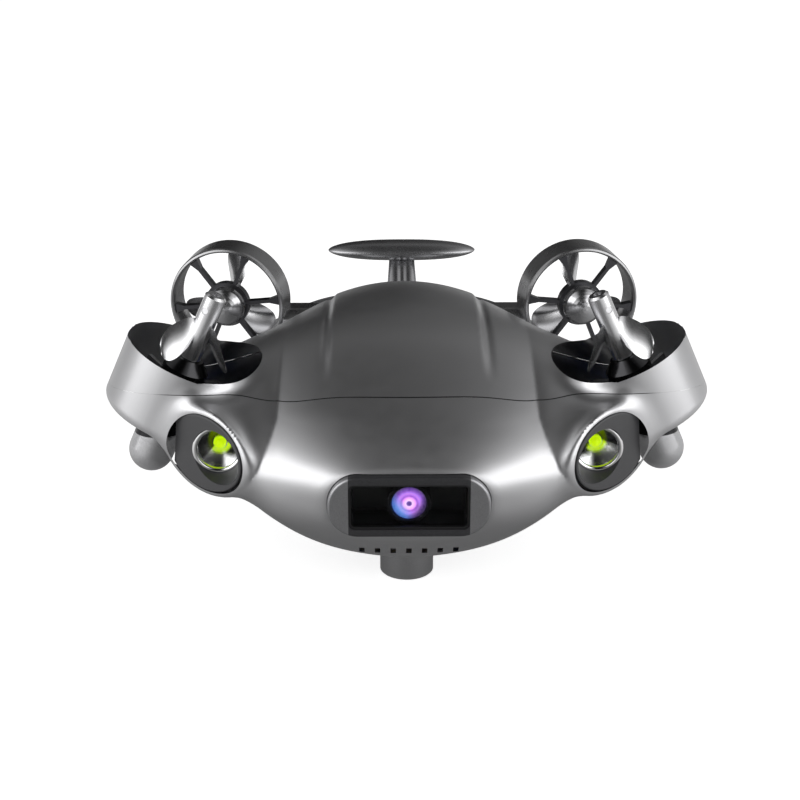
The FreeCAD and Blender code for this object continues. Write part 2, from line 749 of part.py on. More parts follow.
def lamp_bezel():
    """Slanted tube round the lamp with a funnel down to the glass."""
    block = Part.makeBox(FAR, FAR, FAR, Vector(-FAR / 2, -FAR, -FAR / 2))
    block.rotate(Vector(0, 0, 0), UP, LAMP_BEZEL_SLANT)
    block.translate(Vector(LAMP_BEZEL_X, LAMP_BEZEL_Y, LAMP_Z))
    body = lamp_pocket(0.0).cut(block)
    middle_y = (LAMP_BEZEL_Y + LAMP_BACK_Y) / 2
    rim = [e for e in body.Edges if e.CenterOfMass.y < middle_y and e.Length > 2 * LAMP_BEZEL_R]
    body = body.makeFillet(LAMP_RIM_EDGE, rim)
    funnel_front = LAMP_FACE_Y - LAMP_FUNNEL_REACH
    funnel = Part.makeLoft([
        circle_wire(LAMP_R, Vector(LAMP_X, LAMP_FACE_Y, LAMP_Z)),
        circle_wire(LAMP_FUNNEL_R, Vector(LAMP_BEZEL_X, funnel_front, LAMP_Z)),
    ], True, True)
    body = body.cut(funnel)
    bore = cylinder(LAMP_R, Vector(LAMP_X, LAMP_FACE_Y, LAMP_Z), Vector(0, 1, 0), LAMP_DEPTH)
    return body.cut(bore)


def lamp_reflector():
    """Cup that opens forwards, with a parabolic inside."""
    back = LAMP_FACE_Y + LAMP_DEPTH
    body = cylinder(LAMP_R, Vector(LAMP_X, LAMP_FACE_Y, LAMP_Z), Vector(0, 1, 0), LAMP_DEPTH)
    mouth = LAMP_R - LAMP_WALL
    seat = cylinder(mouth, Vector(LAMP_X, LAMP_FACE_Y, LAMP_Z), Vector(0, 1, 0), LAMP_GLASS)
    cone = Part.makeCone(mouth, EMITTER_R + REFLECTOR_THROAT, LAMP_DEPTH - LAMP_GLASS - REFLECTOR_FLOOR,
                         Vector(LAMP_X, LAMP_FACE_Y + LAMP_GLASS, LAMP_Z), Vector(0, 1, 0))
    floor = cylinder(EMITTER_R, Vector(LAMP_X, back - EMITTER_SEAT, LAMP_Z), Vector(0, 1, 0),
                     EMITTER_DISC - EMITTER_BACK + EMITTER_SEAT)
    return body.cut(seat).cut(cone).cut(floor)


def lamp_glass():
    return cylinder(LAMP_R - LAMP_WALL, Vector(LAMP_X, LAMP_FACE_Y, LAMP_Z),
                    Vector(0, 1, 0), LAMP_GLASS)


def lamp_emitter():
    front = Vector(LAMP_X, LAMP_FACE_Y + LAMP_DEPTH - EMITTER_BACK, LAMP_Z)
    disc = cylinder(EMITTER_R, front, Vector(0, 1, 0), EMITTER_DISC)
    dome = Part.makeSphere(EMITTER_R - EMITTER_DOME, front)
    return disc.fuse(dome.cut(cylinder(FAR, front, Vector(0, 1, 0), FAR)))


# ---------------------------------------------------------------- pod, handle, socket


def pod_body(outer_form):
    body = cylinder(POD_R, Vector(0, POD_Y, 0), UP, FAR / 8)
    edge = [e for e in body.Edges if e.BoundBox.ZMax < 0.01]
    body = body.makeChamfer(POD_EDGE, edge)
    recess = cylinder(POD_FACE_R, Vector(0, POD_Y, -OVERSHOOT), UP, OVERSHOOT + POD_FACE_THICK)
    return body.cut(recess).cut(outer_form).Solids[0]


def pod_face():
    return cylinder(POD_FACE_R - SEAT_GAP, Vector(0, POD_Y, FACE_GAP), UP, POD_FACE_THICK - FACE_GAP)


def grip():
    """Flat bar with an elliptical section and rounded ends."""
    radius = GRIP_DEPTH / 2
    straight = GRIP_LENGTH - GRIP_DEPTH
    bar = cylinder(radius, Vector(-straight / 2, 0, 0), Vector(1, 0, 0), straight)
    ends = [Part.makeSphere(radius, Vector(side * straight / 2, 0, 0)) for side in (-1, 1)]
    bar = bar.fuse(ends).removeSplitter()
    squash = FreeCAD.Matrix()
    squash.scale(1.0, 1.0, GRIP_THICK / GRIP_DEPTH)
    bar = bar.transformGeometry(squash)
    bar.translate(Vector(0, GRIP_Y, GRIP_Z))
    return bar


def stem_wire(width, depth, y, z):
    corner = min(width, depth) * STEM_CORNER_SHARE
    face = Part.Face(Part.makePolygon([
        Vector(-width / 2, y - depth / 2, z), Vector(width / 2, y - depth / 2, z),
        Vector(width / 2, y + depth / 2, z), Vector(-width / 2, y + depth / 2, z),
        Vector(-width / 2, y - depth / 2, z),
    ]))
    block = face.extrude(Vector(0, 0, 1.0))
    uprights = [e for e in block.Edges if abs(e.tangentAt(e.FirstParameter).z) > 0.9]
    block = block.makeFillet(corner, uprights)
    lowest = min(block.Faces, key=lambda f: f.CenterOfMass.z)
    return lowest.OuterWire


def stem(outer_form, bar):
    """Curved neck from the tail skin up to the grip."""
    middle_y = STEM_FOOT_Y + STEM_MIDDLE_RUN * (GRIP_Y - STEM_FOOT_Y)
    middle_z = STEM_FOOT_Z + STEM_MIDDLE_RISE * (GRIP_Z - STEM_FOOT_Z)
    wires = [
        stem_wire(STEM_WIDTH, STEM_FOOT_DEPTH, STEM_FOOT_Y - STEM_SINK_LEAN, STEM_FOOT_Z - STEM_SINK),
        stem_wire(STEM_WIDTH, STEM_FOOT_DEPTH, STEM_FOOT_Y, STEM_FOOT_Z),
        stem_wire((STEM_WIDTH + STEM_TOP_WIDTH) / 2, STEM_MIDDLE_DEPTH, middle_y, middle_z),
        stem_wire(STEM_TOP_WIDTH, STEM_TOP_DEPTH, GRIP_Y, GRIP_Z),
    ]
    body = Part.makeLoft(wires, True, False)
    body = body.cut(outer_form).cut(bar)
    return max(body.Solids, key=lambda s: s.CenterOfMass.z)


def handle_screw_places():
    offset = STEM_WIDTH / 2 - HANDLE_SCREW_EDGE * HANDLE_SCREW_R
    return [Vector(side * offset, STEM_FOOT_Y + HANDLE_SCREW_AFT, 0) for side in (-1, 1)]


def skin_heights(form, x, y):
    """Lowest and highest height of a form on a thin upright column at x, y."""
    column = box((COLUMN_SIZE, COLUMN_SIZE, 2 * FAR), (x, y, 0))
    heights = [vertex.Z for vertex in column.common(form).Vertexes]
    return min(heights), max(heights)


def handle_screws(inner_form):
    """Screws from inside the tail up into the stem."""
    screws = []
    head_r = HANDLE_HEAD_SHARE * HANDLE_SCREW_R
    for place in handle_screw_places():
        outboard = math.copysign(abs(place.x) + head_r, place.x)
        top = skin_heights(inner_form, outboard, place.y + head_r)[1] - SEAT_GAP
        start = Vector(place.x, place.y, top - SCREW_HEAD)
        head = cylinder(head_r, start, UP, SCREW_HEAD)
        shank = cylinder(HANDLE_SCREW_R, start, UP, HANDLE_SCREW_LENGTH)
        screws.append(head.fuse(shank))
    return Part.makeCompound(screws)


def tail_y():
    return HULL_STATIONS[-1][0]


def tether_socket():
    back = Vector(0, 1, 0)
    flange = cylinder(SOCKET_R, Vector(0, tail_y(), SOCKET_Z), back, SOCKET_PROUD)
    edge = [e for e in flange.Edges if e.BoundBox.YMin > tail_y() + SOCKET_PROUD - 0.01]
    flange = flange.makeChamfer(SOCKET_CHAMFER, edge)
    start = Vector(0, tail_y() + SOCKET_PROUD - SOCKET_LENGTH, SOCKET_Z)
    body = flange.fuse(cylinder(SOCKET_BODY_R, start, back, SOCKET_LENGTH - SOCKET_PROUD))
    floor = Vector(0, tail_y() + SOCKET_PROUD - SOCKET_DEPTH, SOCKET_Z)
    return body.cut(cylinder(SOCKET_BORE_R, floor, back, SOCKET_DEPTH + OVERSHOOT))


def accessory_insert(outer_form):
    low = skin_heights(outer_form, 0, INSERT_Y)[0]
    body = cylinder(INSERT_R, Vector(0, INSERT_Y, low), UP, INSERT_LENGTH)
    start = Vector(0, INSERT_Y, low - OVERSHOOT)
    return body.cut(cylinder(INSERT_BORE_R, start, UP, OVERSHOOT + INSERT_BORE_LENGTH))


# ---------------------------------------------------------------- inside


def can_tube():
    start = Vector(0, CAN_FRONT_Y, CAN_Z)
    body = cylinder(CAN_R, start, Vector(0, 1, 0), CAN_LENGTH)
    inside = cylinder(CAN_R - CAN_WALL, start + Vector(0, CAN_WALL, 0), Vector(0, 1, 0), CAN_LENGTH)
    return body.cut(inside)


def can_cap():
    end = Vector(0, CAN_FRONT_Y + CAN_LENGTH, CAN_Z)
    flange = cylinder(CAN_R, end, Vector(0, 1, 0), CAN_CAP_FLANGE)
    plug = cylinder(CAN_R - CAN_WALL - SEAT_GAP, end, Vector(0, -1, 0), CAN_CAP_PLUG)
    return flange.fuse(plug)


def battery_top():
    return CAN_Z - CAN_R - FACE_GAP


def battery(gap=0.0):
    size = (BATTERY_WIDTH + 2 * gap, BATTERY_LENGTH + 2 * gap, BATTERY_HEIGHT + 2 * gap)
    centre = (0, BATTERY_FRONT_Y + BATTERY_LENGTH / 2, battery_top() - BATTERY_HEIGHT / 2)
    block = box(size, centre)
    edges = [e for e in block.Edges if abs(e.tangentAt(e.FirstParameter).y) > 0.9]
    return block.makeFillet(BATTERY_CORNER, edges)


def control_board():
    """Board that slides along the inside of the canister."""
    inner = CAN_R - CAN_WALL - SEAT_GAP
    low = CONTROL_DROP + CONTROL_THICK / 2
    width = 2 * math.sqrt(inner * inner - low * low)
    front = CAN_FRONT_Y + 2 * CAN_WALL
    return box((width, CONTROL_LENGTH, CONTROL_THICK),
               (0, front + CONTROL_LENGTH / 2, CAN_Z - CONTROL_DROP))


def ribs(inner_form):
    """Cross ribs of the lower shell that cradle the battery and the canister."""
    holes = [
        cylinder(CAN_R + SEAT_GAP, Vector(0, -FAR, CAN_Z), Vector(0, 1, 0), 2 * FAR),
        battery(SEAT_GAP),
        box((BATTERY_WIDTH - 2 * RIB_LEDGE, FAR, FAR), (0, 0, CAN_Z)),
    ]
    result = []
    for y in RIB_PLACES:
        plate = box((FAR, RIB_THICK, FAR), (0, y, CAN_Z - FAR / 2))
        plate = plate.common(inner_form)
        for hole in holes:
            plate = plate.cut(hole)
        result.extend(plate.Solids)
    return result


def screw_places():
    return [(side * x, y) for x, y in SCREW_PLACES for side in (-1, 1)]


def lower_bosses(outer_form):
    return [cylinder(BOSS_R, Vector(x, y, 0), UP, parting_height(y)).common(outer_form)
            for x, y in screw_places()]


def upper_bosses(outer_form):
    return [cylinder(BOSS_R, Vector(x, y, parting_height(y) - BOSS_LAP), UP, FAR / 4).common(outer_form)
            for x, y in screw_places()]


def screw_cutters(outer_form):
    cuts = []
    for x, y in screw_places():
        low = skin_heights(outer_form, x, y)[0]
        head = cylinder(SCREW_HEAD_R + SEAT_GAP, Vector(x, y, 0), UP, low + SCREW_HEAD + SCREW_SINK)
        shank = cylinder(SCREW_R + SEAT_GAP, Vector(x, y, low), UP, parting_height(y) - low)
        thread = cylinder(SCREW_R, Vector(x, y, parting_height(y) - BOSS_LAP), UP, SCREW_TAP)
        cuts.extend([head, shank, thread])
    return cuts


def shell_screws(outer_form):
    screws = []
    for x, y in screw_places():
        low = skin_heights(outer_form, x, y)[0] + SCREW_SINK
        head = cylinder(SCREW_HEAD_R, Vector(x, y, low), UP, SCREW_HEAD)
        socket = cylinder(SCREW_R * SCREW_SOCKET_SHARE, Vector(x, y, low - OVERSHOOT), UP,
                          OVERSHOOT + SCREW_SOCKET_DEPTH)
        reach = parting_height(y) + SCREW_GRIP - low
        shank = cylinder(SCREW_R, Vector(x, y, low), UP, reach)
        screws.append(head.fuse(shank).cut(socket))
    return Part.makeCompound(screws)


# ---------------------------------------------------------------- assembly


def duct_hole(place):
    radius = DUCT_R + SEAT_GAP
    hole = cylinder(radius, Vector(0, 0, -FAR), UP, 2 * FAR)
    return placed(hole, place)


def hull_cutters(places):
    cutters = [camera_cavity(SEAT_GAP)]
    for place in places:
        cutters.extend([duct_hole(place), mirrored(duct_hole(place))])
    cutters.extend([lamp_pocket(SEAT_GAP), mirrored(lamp_pocket(SEAT_GAP))])
    cutters.append(cylinder(SOCKET_BODY_R + SEAT_GAP, Vector(0, tail_y() - SOCKET_LENGTH, SOCKET_Z),
                            Vector(0, 1, 0), 2 * SOCKET_LENGTH))
    cutters.append(cylinder(INSERT_R + SEAT_GAP / 2, Vector(0, INSERT_Y, 0), UP,
                             INSERT_BOSS_TOP + OVERSHOOT))
    cutters.extend(vents())
    for spot in handle_screw_places():
        start = spot + UP * parting_height(spot.y)
        cutters.append(cylinder(HANDLE_SCREW_R + SEAT_GAP, start, UP, FAR))
    return cutters


def cut_all(shape, cutters):
    for cutter in cutters:
        shape = shape.cut(cutter)
    return shape


def biggest(shape):
    return max(shape.Solids, key=lambda s: s.Volume)


def build_hull(outer, inner, places):
    cutters = hull_cutters(places)
    screws = screw_cutters(outer)
    skin = outer.cut(inner)
    upper = skin.fuse(upper_bosses(outer)).common(above_parting(GASKET_THICK / 2))
    boss = cylinder(INSERT_R + INSERT_BOSS_WALL, Vector(0, INSERT_Y, 0), UP, INSERT_BOSS_TOP).common(outer)
    lower = skin.fuse(lower_bosses(outer) + ribs(inner) + [boss])
    lower = lower.cut(above_parting(-GASKET_THICK / 2))
    save(biggest(cut_all(upper, cutters + screws)), "upper_shell")
    save(biggest(cut_all(lower, cutters + screws)), "lower_shell")
    band = hull_form(GASKET_INSET, GASKET_INSET, GASKET_INSET).cut(inner)
    band = band.cut(above_parting(GASKET_THICK / 2)).common(above_parting(-GASKET_THICK / 2))
    save(cut_all(band, cutters), "shell_gasket")
    save(shell_screws(outer), "shell_screws")


def save_pair(shape, name):
    save(shape, name + "_right")
    save(mirrored(shape), name + "_left")


def build_vector_thruster(name, place, motor_top, prop, rotor):
    save_pair(placed(vector_duct(), place), name + "_duct")
    save_pair(placed(vector_motor(motor_top), place), name + "_motor")
    save_pair(placed(vector_mount(), place), name + "_motor_mount")
    save_pair(placed(prop, place), name + "_propeller")
    save_pair(placed(rotor, place), name + "_shaft")


def pylon(outer_form, place):
    """Arm from the hull flank to the ring."""
    x, y, z = RING_POS
    arm = box((x, PYLON_DEPTH, PYLON_HEIGHT), (x / 2, y, z - PYLON_DROP))
    edges = [e for e in arm.Edges if abs(e.tangentAt(e.FirstParameter).x) > 0.9]
    arm = arm.makeFillet(PYLON_HEIGHT / 2 - PYLON_FLAT, edges)
    middle = (RING_R + RING_BORE_R) / 2
    arm = arm.cut(outer_form).cut(placed(cylinder(middle, Vector(0, 0, -FAR), UP, 2 * FAR), place))
    return biggest(arm)


def build_surge_thruster(outer_form):
    place = ring_place()
    ring = placed(ring_duct(), place).fuse(pylon(outer_form, place))
    save_pair(ring, "surge_duct")
    save_pair(placed(ring_motor(), place), "surge_motor")
    save_pair(placed(ring_guard(), place), "surge_guard")
    prop = screw_prop(RING_MOTOR_END, RING_PROP_R, RING_PROP_PHASE)
    save_pair(placed(prop, place), "surge_propeller")
    save_pair(placed(ring_rotor(), place), "surge_shaft")


def build_camera():
    save(camera_bezel(), "camera_bezel")
    save(camera_liner(), "camera_liner")
    save(camera_window(), "camera_window")
    save(camera_barrel(), "camera_barrel")
    save(camera_lens(), "camera_lens")
    save(sensor_board(), "camera_sensor_board")


def build_lamps(front_place):
    bezel = lamp_bezel().cut(duct_hole(front_place))
    save_pair(biggest(bezel), "lamp_bezel")
    save_pair(lamp_reflector(), "lamp_reflector")
    save_pair(lamp_glass(), "lamp_glass")
    save_pair(lamp_emitter(), "lamp_emitter")


def build_tail(outer, inner):
    bar = grip()
    save(bar, "handle_grip")
    screws = handle_screws(inner)
    save(stem(outer, bar).cut(screws), "handle_stem")
    save(screws, "handle_screws")
    save(tether_socket(), "tether_socket")


def build_inside(outer):
    save(can_tube(), "electronics_canister")
    save(can_cap(), "canister_cap")
    save(battery(), "battery_pack")
    save(control_board(), "control_board")
    save(accessory_insert(outer), "accessory_insert")
    save(pod_body(outer), "sonar_pod")
    save(pod_face(), "sonar_face")


def main():
    os.makedirs("parts", exist_ok=True)
    outer = hull_form(0.0, 0.0, 0.0)
    inner = hull_form(SHELL_WALL, SHELL_WALL, SHELL_WALL)
    front = vector_place(FRONT_POS, FRONT_TILT)
    rear = vector_place(REAR_POS, REAR_TILT)
    build_hull(outer, inner, [front, rear])
    front_top = IMPELLER_HUB_FOOT - FACE_GAP
    build_vector_thruster("front", front, front_top, impeller(), impeller_rotor())
    rear_prop = screw_prop(REAR_MOTOR_TOP, REAR_PROP_R, REAR_PROP_PHASE)
    build_vector_thruster("rear", rear, REAR_MOTOR_TOP, rear_prop, rear_rotor())
    build_surge_thruster(outer)
    build_camera()
    build_lamps(front)
    build_tail(outer, inner)
    build_inside(outer)


main()
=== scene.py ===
import json
import math

import bmesh
import bpy
import numpy as np
from mathutils import Matrix, Vector


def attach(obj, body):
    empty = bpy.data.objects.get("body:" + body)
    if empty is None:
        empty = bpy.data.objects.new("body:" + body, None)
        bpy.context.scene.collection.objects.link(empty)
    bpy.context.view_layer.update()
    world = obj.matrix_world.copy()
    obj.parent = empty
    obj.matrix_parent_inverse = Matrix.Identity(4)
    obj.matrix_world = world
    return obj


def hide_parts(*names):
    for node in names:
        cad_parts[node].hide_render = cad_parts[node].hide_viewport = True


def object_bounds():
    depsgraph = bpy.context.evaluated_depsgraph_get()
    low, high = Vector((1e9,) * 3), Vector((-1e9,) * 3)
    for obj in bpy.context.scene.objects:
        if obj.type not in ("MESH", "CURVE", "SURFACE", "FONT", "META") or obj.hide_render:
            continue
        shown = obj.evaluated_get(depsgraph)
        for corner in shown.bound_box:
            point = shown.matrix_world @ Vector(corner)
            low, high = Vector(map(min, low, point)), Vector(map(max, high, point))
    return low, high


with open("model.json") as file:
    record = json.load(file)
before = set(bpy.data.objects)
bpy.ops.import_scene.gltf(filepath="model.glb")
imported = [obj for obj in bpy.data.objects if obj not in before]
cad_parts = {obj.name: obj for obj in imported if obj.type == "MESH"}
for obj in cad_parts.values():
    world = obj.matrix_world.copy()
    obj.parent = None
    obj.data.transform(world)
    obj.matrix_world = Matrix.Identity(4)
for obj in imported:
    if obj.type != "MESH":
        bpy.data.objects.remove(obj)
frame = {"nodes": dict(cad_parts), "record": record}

# Looks of a compact underwater inspection vehicle: nose along -Y, Z up.
# Shapes are worked out in millimetres, as in the CAD, and brought to metres by MM.
# The hull's skin, its gasket, the handle and the lens are made here and stand in for CAD nodes; the lamps'
# rings are made here and added.
# Every other node keeps its CAD shape and only gets a material.

MM = 0.001
TO_METRES = Matrix.Diagonal((MM, MM, MM, 1))
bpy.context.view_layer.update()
nodes = frame["nodes"]
slot_of = {s["node"]: s["material_slot"] for s in frame["record"]["subparts"]}

SIDES = (("right", 1), ("left", -1))
ROUND_SEGMENTS, CORNER_STEPS = 96, 12

# Hull stations: y, half width, top, bottom, height of the widest point,
# fullness of the upper and lower halves (2 is an ellipse)
STATIONS = np.array([
    (-188.0, 43.0, 99.0, 60.0, 81.0, 3.0, 3.0),
    (-178.0, 66.0, 106.5, 48.0, 82.0, 2.5, 2.2),
    (-162.0, 94.0, 115.5, 38.5, 85.5, 2.3, 1.55),
    (-141.0, 118.0, 122.5, 30.0, 89.0, 2.3, 1.38),
    (-120.0, 127.0, 128.5, 25.0, 93.0, 2.3, 1.45),
    (-101.5, 131.0, 132.5, 21.5, 96.0, 2.3, 1.5),
    (-72.0, 120.0, 136.5, 20.0, 98.0, 2.2, 1.6),
    (-41.0, 98.0, 138.0, 20.0, 98.0, 2.0, 1.7),
    (0.0, 75.0, 134.5, 22.0, 95.0, 2.0, 1.8),
    (40.0, 63.0, 123.5, 26.0, 88.0, 2.0, 1.8),
    (75.0, 62.0, 110.5, 31.0, 80.0, 2.0, 2.0),
    (103.0, 57.0, 100.0, 36.5, 74.0, 2.0, 2.0),
    (131.0, 43.0, 90.5, 44.0, 70.0, 2.0, 2.0),
    (158.0, 22.0, 82.0, 54.0, 68.0, 2.2, 2.2),
])
NOSE_END, TAIL_END = -188.0, 158.0
NOSE_BLEND, TAIL_BLEND = 2.5, 4.0
TINY, SHARE_LEAST = 1e-6, 0.2       # keep the field finite near the hull's axis

# Vectored thrusters: middle of the mouth, lean of the shaft in degrees
FRONT_MOUTH, FRONT_LEAN = (116.0, -101.5, 129.1), 24.0
REAR_MOUTH, REAR_LEAN = (62.0, 98.5, 80.0), -20.0
DUCT_R, DUCT_LIP, DUCT_THROAT = 35.5, 2.2, 28.5
DUCT_BELL, DUCT_LENGTH = 14.0, 38.5
DUCT_ROUND, DUCT_FILLET = 5.0, 12.0
DUCT_SPARE = 1.0                    # rise of the duct's blank above its round, cut off at the mouth
BELL_STEPS = 8
LIP_EDGE, LIP_PLAY = 0.7, 0.15
BORE_BELOW, BORE_ABOVE = 30.0, 60.0

# Skin sampling
GRID_STEP = 1.3
GRID_LOW = (-170.0, -194.0, 13.0)
GRID_HIGH = (170.0, 164.0, 143.0)
SETTLE_ROUNDS = 4
SLOPE_STEP, SLOPE_LEAST = 0.2, 0.05

# Crease between the central body and the wings: at CREASE_X above CREASE_TOP, further out below it.
# It starts in two stretches of Y, each with its share of the depth, and fades out downwards.
CREASE_X, CREASE_TOP = 67.5, 112.0
CREASE_SPREAD, CREASE_BEND = 0.35, 0.006
CREASE_DEPTH = 5.5
CREASE_INNER, CREASE_OUTER = 15.0, 11.0
CREASE_STARTS = (((-62.0, -125.0), 0.75), ((-20.0, -70.0), 0.25))
CREASE_FADE = (40.0, 80.0)

# Raised panel along the back, with a shallow groove along its edge
PANEL_HALF = 42.5
PANEL_RISE = 1.6
PANEL_EDGE = (-2.2, 1.2)
PANEL_FRONT, PANEL_REAR = (-132.0, -85.0), (90.0, 40.0)
GROOVE_DEPTH, GROOVE_OFFSET, GROOVE_HALF = 1.1, 2.0, 2.0

# Seam between the upper and lower shells
SEAM_Y, SEAM_Z, SEAM_DROP = -142.0, 121.0, 9.2
SEAM_GAP = 0.4
SEAM_DIP, SEAM_DIP_HALF = 3.5, 22.0
DIP_START, DIP_REACH = -40.0, 60.0
SEAM_END, SEAM_FADE, SEAM_THINNING = 124.0, 8.0, 0.9
BLADE_HALF, BLADE_FRONT, BLADE_BACK = 175.0, -200.0, 170.0
BLADE_COLUMNS, BLADE_ROWS = 141, 75
SCRAP_VERTICES, RISE_SAMPLES = 60, 400
GASKET_INSET, GASKET_SPARE = 0.45, 0.1

# Nose
CAMERA_Z = 81.0
FRAME_WIDTH, FRAME_HEIGHT = 82.0, 33.0
FRAME_PLAY, FRAME_BACK, FRAME_SQUARE = 0.6, -166.0, 1.0
CUT_FRONT = -200.0                  # ahead of the nose, where cutters start
LAMP_X, LAMP_Z, LAMP_FACE_Y = 99.0, 92.5, -143.0
LAMP_BEZEL_X, LAMP_BEZEL_R, LAMP_BACK_Y = 105.5, 20.9, -131.0
LAMP_PLAY = 0.3
BEZEL_Y, BEZEL_SLANT = -150.0, 40.0
NACELLE_R, NACELLE_ROUND, NACELLE_FILLET = 24.0, 2.6, 16.0
NACELLE_SETBACK = 0.9
NACELLE_BACK = -118.0
VENT_COUNT, VENT_SIZE, VENT_TALL, VENT_PITCH, VENT_Z = 7, 2.8, 4.6, 8.0, 52.0
VENT_FRONT, VENT_BACK = -196.0, -176.0

# Grip of the handle: how full its outline is, and how fast it thins out towards its tips
GRIP_HALF, GRIP_DEPTH, GRIP_THICK, GRIP_Y, GRIP_Z = 51.4, 28.0, 13.0, 177.0, 104.0
GRIP_RINGS, GRIP_SIDES = 40, 48
GRIP_TIP, GRIP_FULLNESS, GRIP_THINNING = 0.9995, 2.6, 1.15

# Stem of the handle: width, depth, y and z of its foot and head
STEM_FOOT, STEM_HEAD = (22.0, 22.0, 146.0, 76.0), (17.0, 13.0, 177.0, 102.5)
STEM_RINGS, STEM_SIDES = 16, 72
STEM_SQUARE, STEM_THINNING, STEM_SWEEP = 0.7, 1.2, 1.6
STEM_GROOVE, STEM_GROOVE_HALF = 2.6, 2.4

# Lens barrel: (radius, height) of its stepped rings, heights from BARREL_BACK towards the nose
BARREL_BACK = -171.0
BARREL_RINGS = ((11.0, 0.0), (11.0, 15.6), (10.7, 16.1), (10.4, 16.1), (10.2, 15.2), (9.9, 15.2),
                (9.7, 15.9), (9.3, 15.9), (8.9, 14.6))
BARREL_FLOOR = 14.2
LENS_R, LENS_RISE = 8.9, 1.0
LENS_FOOT, LENS_RIM, LENS_STEPS = 13.0, 14.4, 14

# Lamps
LAMP_RING_R, LAMP_RING_TUBE, LAMP_RING_SIDES, LAMP_RING_RISE = 12.2, 1.5, 24, 1.0
# Reflector radius, and slant of the edge of the painted reflection in its upper part
REFLECTOR_R, PAINTED_REFLECTION_TILT = 10.9, -0.35

# Where materials change, and where painted shade begins
CHEEK_X = 30.5                      # the nose frame is lighter outside this
# Painted shade: motors turn black above this height, inside their ducts
MOTOR_SHADE_Z = 86.0                # motors are black above this, inside their ducts
# Painted shade: the bores turn black from this far inside the lip
BORE_SHADE_PLAY = 0.2               # the bores' black ends this far inside the lip

# View: what the camera looks at, from how far and from what angles in degrees
VIEW_SENSOR, VIEW_FOCUS = 36.0, 73.2
VIEW_AIM, VIEW_REACH = (-3.2, -41.5, 78.4), 950.0
VIEW_PITCH, VIEW_TURN = 22.0, 0.55

# Studio, in metres and watts
STUDIO_GAIN = 1.1
DIFFUSE_SKY = 0.35
FLOOR_HALF, FLOOR_GLOW = 6, 0.7
SOFTBOX_SPOT, SOFTBOX_AIM = (1.5, -0.9, 0.8), (0, -0.05, 0.08)
SOFTBOX_SIZE, SOFTBOX_WATTS = (1.9, 1.5), 15.0
BACKLIGHT_SPOT, BACKLIGHT_AIM = (0.0, 1.6, 1.5), (0, 0.0, 0.08)
BACKLIGHT_SIZE, BACKLIGHT_WATTS = (2.4, 0.6), 0.6

# ---------------------------------------------------------------- meshes


def new_object(name, vertices, faces):
    mesh = bpy.data.meshes.new(name)
    mesh.from_pydata([tuple(v) for v in vertices], [], [tuple(f) for f in faces])
    mesh.update()
    thing = bpy.data.objects.new(name, mesh)
    bpy.context.scene.collection.objects.link(thing)
    return thing


def shade_smooth(thing, angle):
    """Smooth shading, with edges sharp where they turn by more than an angle in degrees."""
    for polygon in thing.data.polygons:
        polygon.use_smooth = True
    thing.data.set_sharp_from_angle(angle=math.radians(angle))


def revolved(name, profile):
    """Surface of revolution about Z through (radius, height) points. A radius of 0 gives one vertex."""
    vertices, rings = [], []
    for radius, height in profile:
        if radius == 0:
            rings.append([len(vertices)])
            vertices.append((0.0, 0.0, height))
            continue
        rings.append(list(range(len(vertices), len(vertices) + ROUND_SEGMENTS)))
        for k in range(ROUND_SEGMENTS):
            turn = 2 * math.pi * k / ROUND_SEGMENTS
            vertices.append((radius * math.cos(turn), radius * math.sin(turn), height))
    faces = []
    for low, high in zip(rings, rings[1:]):
        for k in range(ROUND_SEGMENTS):
            a, b = low[k % len(low)], low[(k + 1) % len(low)]
            c, d = high[(k + 1) % len(high)], high[k % len(high)]
            face = [a, b, c, d]
            faces.append([v for i, v in enumerate(face) if v not in face[:i]])
    return new_object(name, vertices, [f for f in faces if len(f) > 2])


def place(thing, matrix):
    thing.data.transform(matrix)
    return thing


def drop(thing):
    mesh = thing.data
    bpy.data.objects.remove(thing)
    bpy.data.meshes.remove(mesh)


def apply_modifiers(thing):
    graph = bpy.context.evaluated_depsgraph_get()
    mesh = bpy.data.meshes.new_from_object(thing.evaluated_get(graph))
    old = thing.data
    thing.modifiers.clear()
    thing.data = mesh
    bpy.data.meshes.remove(old)


def joined(name, things):
    """One object from several, whose own objects are removed."""
    mesh = bpy.data.meshes.new(name)
    work = bmesh.new()
    for thing in things:
        work.from_mesh(thing.data)
        drop(thing)
    bmesh.ops.recalc_face_normals(work, faces=work.faces)
    work.to_mesh(mesh)
    work.free()
    result = bpy.data.objects.new(name, mesh)
    bpy.context.scene.collection.objects.link(result)
    return result


def cut(thing, cutter, operation="DIFFERENCE"):
    """Boolean of two objects, which uses up the cutter."""
    change = thing.modifiers.new("cut", "BOOLEAN")
    change.operation = operation
    change.object = cutter
    change.solver = "EXACT"
    apply_modifiers(thing)
    drop(cutter)


# ---------------------------------------------------------------- hull field


def station_values(y):
    """Section values at each y, by a smooth curve through the stations."""
    rows, values = STATIONS[:, 0], STATIONS[:, 1:]
    slopes = np.gradient(values, rows, axis=0)
    first = np.clip(np.searchsorted(rows, y) - 1, 0, len(rows) - 2)
    span = rows[first + 1] - rows[first]
    t = np.clip((y - rows[first]) / span, 0.0, 1.0)[:, None]
    span = span[:, None]
    return ((2 * t**3 - 3 * t**2 + 1) * values[first] + (t**3 - 2 * t**2 + t) * span * slopes[first]
            + (3 * t**2 - 2 * t**3) * values[first + 1] + (t**3 - t**2) * span * slopes[first + 1]).T


def smooth_max(a, b, blend):
    """The larger of two fields, rounded where they are nearer than blend."""
    near = np.maximum(blend - np.abs(a - b), 0.0) / blend
    return np.maximum(a, b) + near * near * blend / 4


def smooth_min(a, b, blend):
    return -smooth_max(-a, -b, blend)


def eased(value, low, high):
    """0 at low and 1 at high, level at both ends."""
    t = np.clip((value - low) / (high - low), 0.0, 1.0)
    return t * t * (3 - 2 * t)


